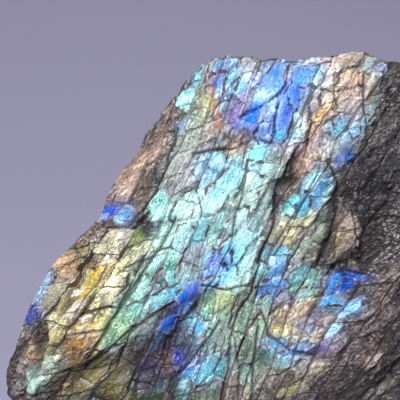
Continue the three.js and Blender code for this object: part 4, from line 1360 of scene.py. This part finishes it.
def fine_relief(n, p, lines):
    """Splinters, clods, lines, lamellae and crumbs, as heights for the bump."""
    smooth = n.times_plus(p.cover, -0.7, 1.0)
    relief = n.times(n.between(p.splinter_edge, 0.0, 0.16), n.times(smooth, 0.45))
    for pattern, height in (
        (p.splinter_tint[0], n.times(smooth, 0.5)),
        (p.clod_tint[1], n.between(p.grain, 0.3, 0.9, 0.0, 1.6)),
        (lines, -1.2),
        (p.streak, n.times_plus(p.cover, -0.6, 0.8)),
        (p.speckle, 0.9),
        (p.crumb_tint[0], n.between(p.grain, 0.1, 0.8, 0.1, 1.1)),
    ):
        relief = n.times_plus(pattern, height, relief)
    return n.new("ShaderNodeBump", {"Strength": 1.0, "Distance": 0.00028, "Height": relief}).outputs[0]


def stone_material():
    material = bpy.data.materials.new("labradorite")
    material.use_nodes = True
    tree = material.node_tree
    tree.nodes.clear()
    n = Nodes(tree)
    shader = n.new("ShaderNodeBsdfPrincipled")
    output = n.new("ShaderNodeOutputMaterial")
    tree.links.new(shader.outputs[0], output.inputs["Surface"])
    p = Patterns(n)

    clean = n.mix(feldspar_seams(n, p), clean_colour(n, p), n.mix(p.crumb_tint[0], SEAM_DARK, SEAM_PALE))
    colour = n.mix(n.between(p.grain, 0.2, 0.9, 0.0, 0.92), clean, matrix_colour(n, p))

    # painted highlight on crests, painted shade in hollows
    colour = n.mix(n.times(n.most(p.crest, 0.0), n.times(p.lit, 0.35)), colour, CREST_HIGHLIGHT)
    colour = n.mix(n.times(n.most(n.times(p.crest, -1.0), 0.0), 0.5), colour, HOLLOW_SHADE)

    # cracks hold a deep tone of the colour round them, and painted shade spreads beside them
    lines = crack_lines(n, p)
    deep = n.shaded(n.mix(1.0, p.flash, p.flash, "MULTIPLY"), 0.20)
    # painted shade beside the cracks
    beside = n.times(n.between(p.crack_away, 0.3, 1.5, 0.45, 0.0), n.between(p.cloud, 0.3, 0.6, 0.4, 1.0))
    tone = n.mix(n.between(n.noise(p.at, 0.12, 2.0), 0.4, 0.6), CRACK_GREEN, CRACK_BROWN)
    colour = n.mix(lines, n.mix(beside, colour, deep), n.mix(0.55, tone, deep))
    n.put(shader.inputs["Base Color"], colour)

    shader.inputs["Specular IOR Level"].default_value = 0.38
    n.put(shader.inputs["Metallic"], n.times(n.between(p.grain, 0.1, 0.5, 0.3, 0.0), n.minus(1.0, lines)))
    gloss = n.plus(n.between(p.grain, 0.0, 0.8, 0.24, 0.48), n.times(p.crumb_tint[1], 0.14))
    n.put(shader.inputs["Roughness"], n.math("ADD", gloss, n.times(lines, 0.25), clamp=True))
    n.put(shader.inputs["Normal"], fine_relief(n, p, lines))
    return material


# ---------------------------------------------------------------- studio

BACKDROP = (0.55, 0.54, 0.624)


def build_backdrop():
    """A floor that sweeps up behind the stone."""
    half, back, rise, tall = 2.2, 0.10, 1.1, 2.8
    profile = [(-2.4, 0.0), (back, 0.0)]
    for i in range(1, 25):
        a = i / 24 * math.pi / 2
        profile.append((back + rise * math.sin(a), rise * (1 - math.cos(a))))
    profile.append((back + rise, tall))
    verts = [(side * half, y, z) for y, z in profile for side in (-1, 1)]
    faces = [(2 * i, 2 * i + 1, 2 * i + 3, 2 * i + 2) for i in range(len(profile) - 1)]
    mesh = bpy.data.meshes.new("studio_sweep")
    mesh.from_pydata(verts, [], faces)
    mesh.polygons.foreach_set("use_smooth", np.ones(len(faces), bool))
    sweep = bpy.data.objects.new("studio_sweep", mesh)
    bpy.context.scene.collection.objects.link(sweep)
    paper = bpy.data.materials.new("studio_paper")
    paper.use_nodes = True
    shader = paper.node_tree.nodes["Principled BSDF"]
    shader.inputs["Base Color"].default_value = (*linear(BACKDROP), 1.0)
    shader.inputs["Roughness"].default_value = 0.9
    shader.inputs["Specular IOR Level"].default_value = 0.1
    mesh.materials.append(paper)


def area_light(name, place, target, size, power, colour):
    light = bpy.data.lights.new(name, "AREA")
    light.shape = "RECTANGLE"
    light.size, light.size_y = size
    light.energy = power
    light.color = colour
    lamp = bpy.data.objects.new(name, light)
    lamp.location = place
    lamp.rotation_euler = (Vector(target) - Vector(place)).to_track_quat("-Z", "Y").to_euler()
    bpy.context.scene.collection.objects.link(lamp)


def build_studio():
    middle = (0.00, 0.00, 0.06)
    area_light("key", (-0.4, -0.8, 0.62), middle, (0.35, 0.35), 16.4, (1.0, 0.985, 0.97))
    area_light("fill", (0.75, -0.6, 0.3), middle, (0.6, 0.6), 2.2, (0.96, 0.97, 1.0))
    area_light("top", (0.04, 0.10, 0.90), middle, (0.7, 0.5), 4.0, (0.97, 0.97, 1.0))
    world = bpy.data.worlds.new("studio")
    world.use_nodes = True
    world.node_tree.nodes["Background"].inputs[0].default_value = (0.84, 0.84, 0.93, 1.0)
    world.node_tree.nodes["Background"].inputs[1].default_value = 0.30
    bpy.context.scene.world = world
    bpy.context.scene.view_settings.view_transform = "Standard"


# The camera is a long lens almost level with the stone, close enough to crop its right side and foot.
LOOK_AT = Vector((-9.3, -24.0, 65.4)) * MM
LENS, ELEVATION, SEEN_WIDTH = 100.0, 6.0, 0.100


def build_camera():
    data = bpy.data.cameras.new("camera")
    data.lens, data.sensor_width = LENS, 36.0
    data.clip_start, data.clip_end = 0.01, 20.0
    camera = bpy.data.objects.new("camera", data)
    away = SEEN_WIDTH * LENS / 36.0
    tilt = math.radians(ELEVATION)
    back = Vector((0.0, -math.cos(tilt), math.sin(tilt)))
    camera.location = LOOK_AT + back * away
    camera.rotation_euler = (-back).to_track_quat("-Z", "Y").to_euler()
    bpy.context.scene.collection.objects.link(camera)
    bpy.context.scene.camera = camera


build_camera()
build_backdrop()
build_studio()
stone = build_stone()
stone.data.materials.append(stone_material())
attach(stone, "root")
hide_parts(NODE)
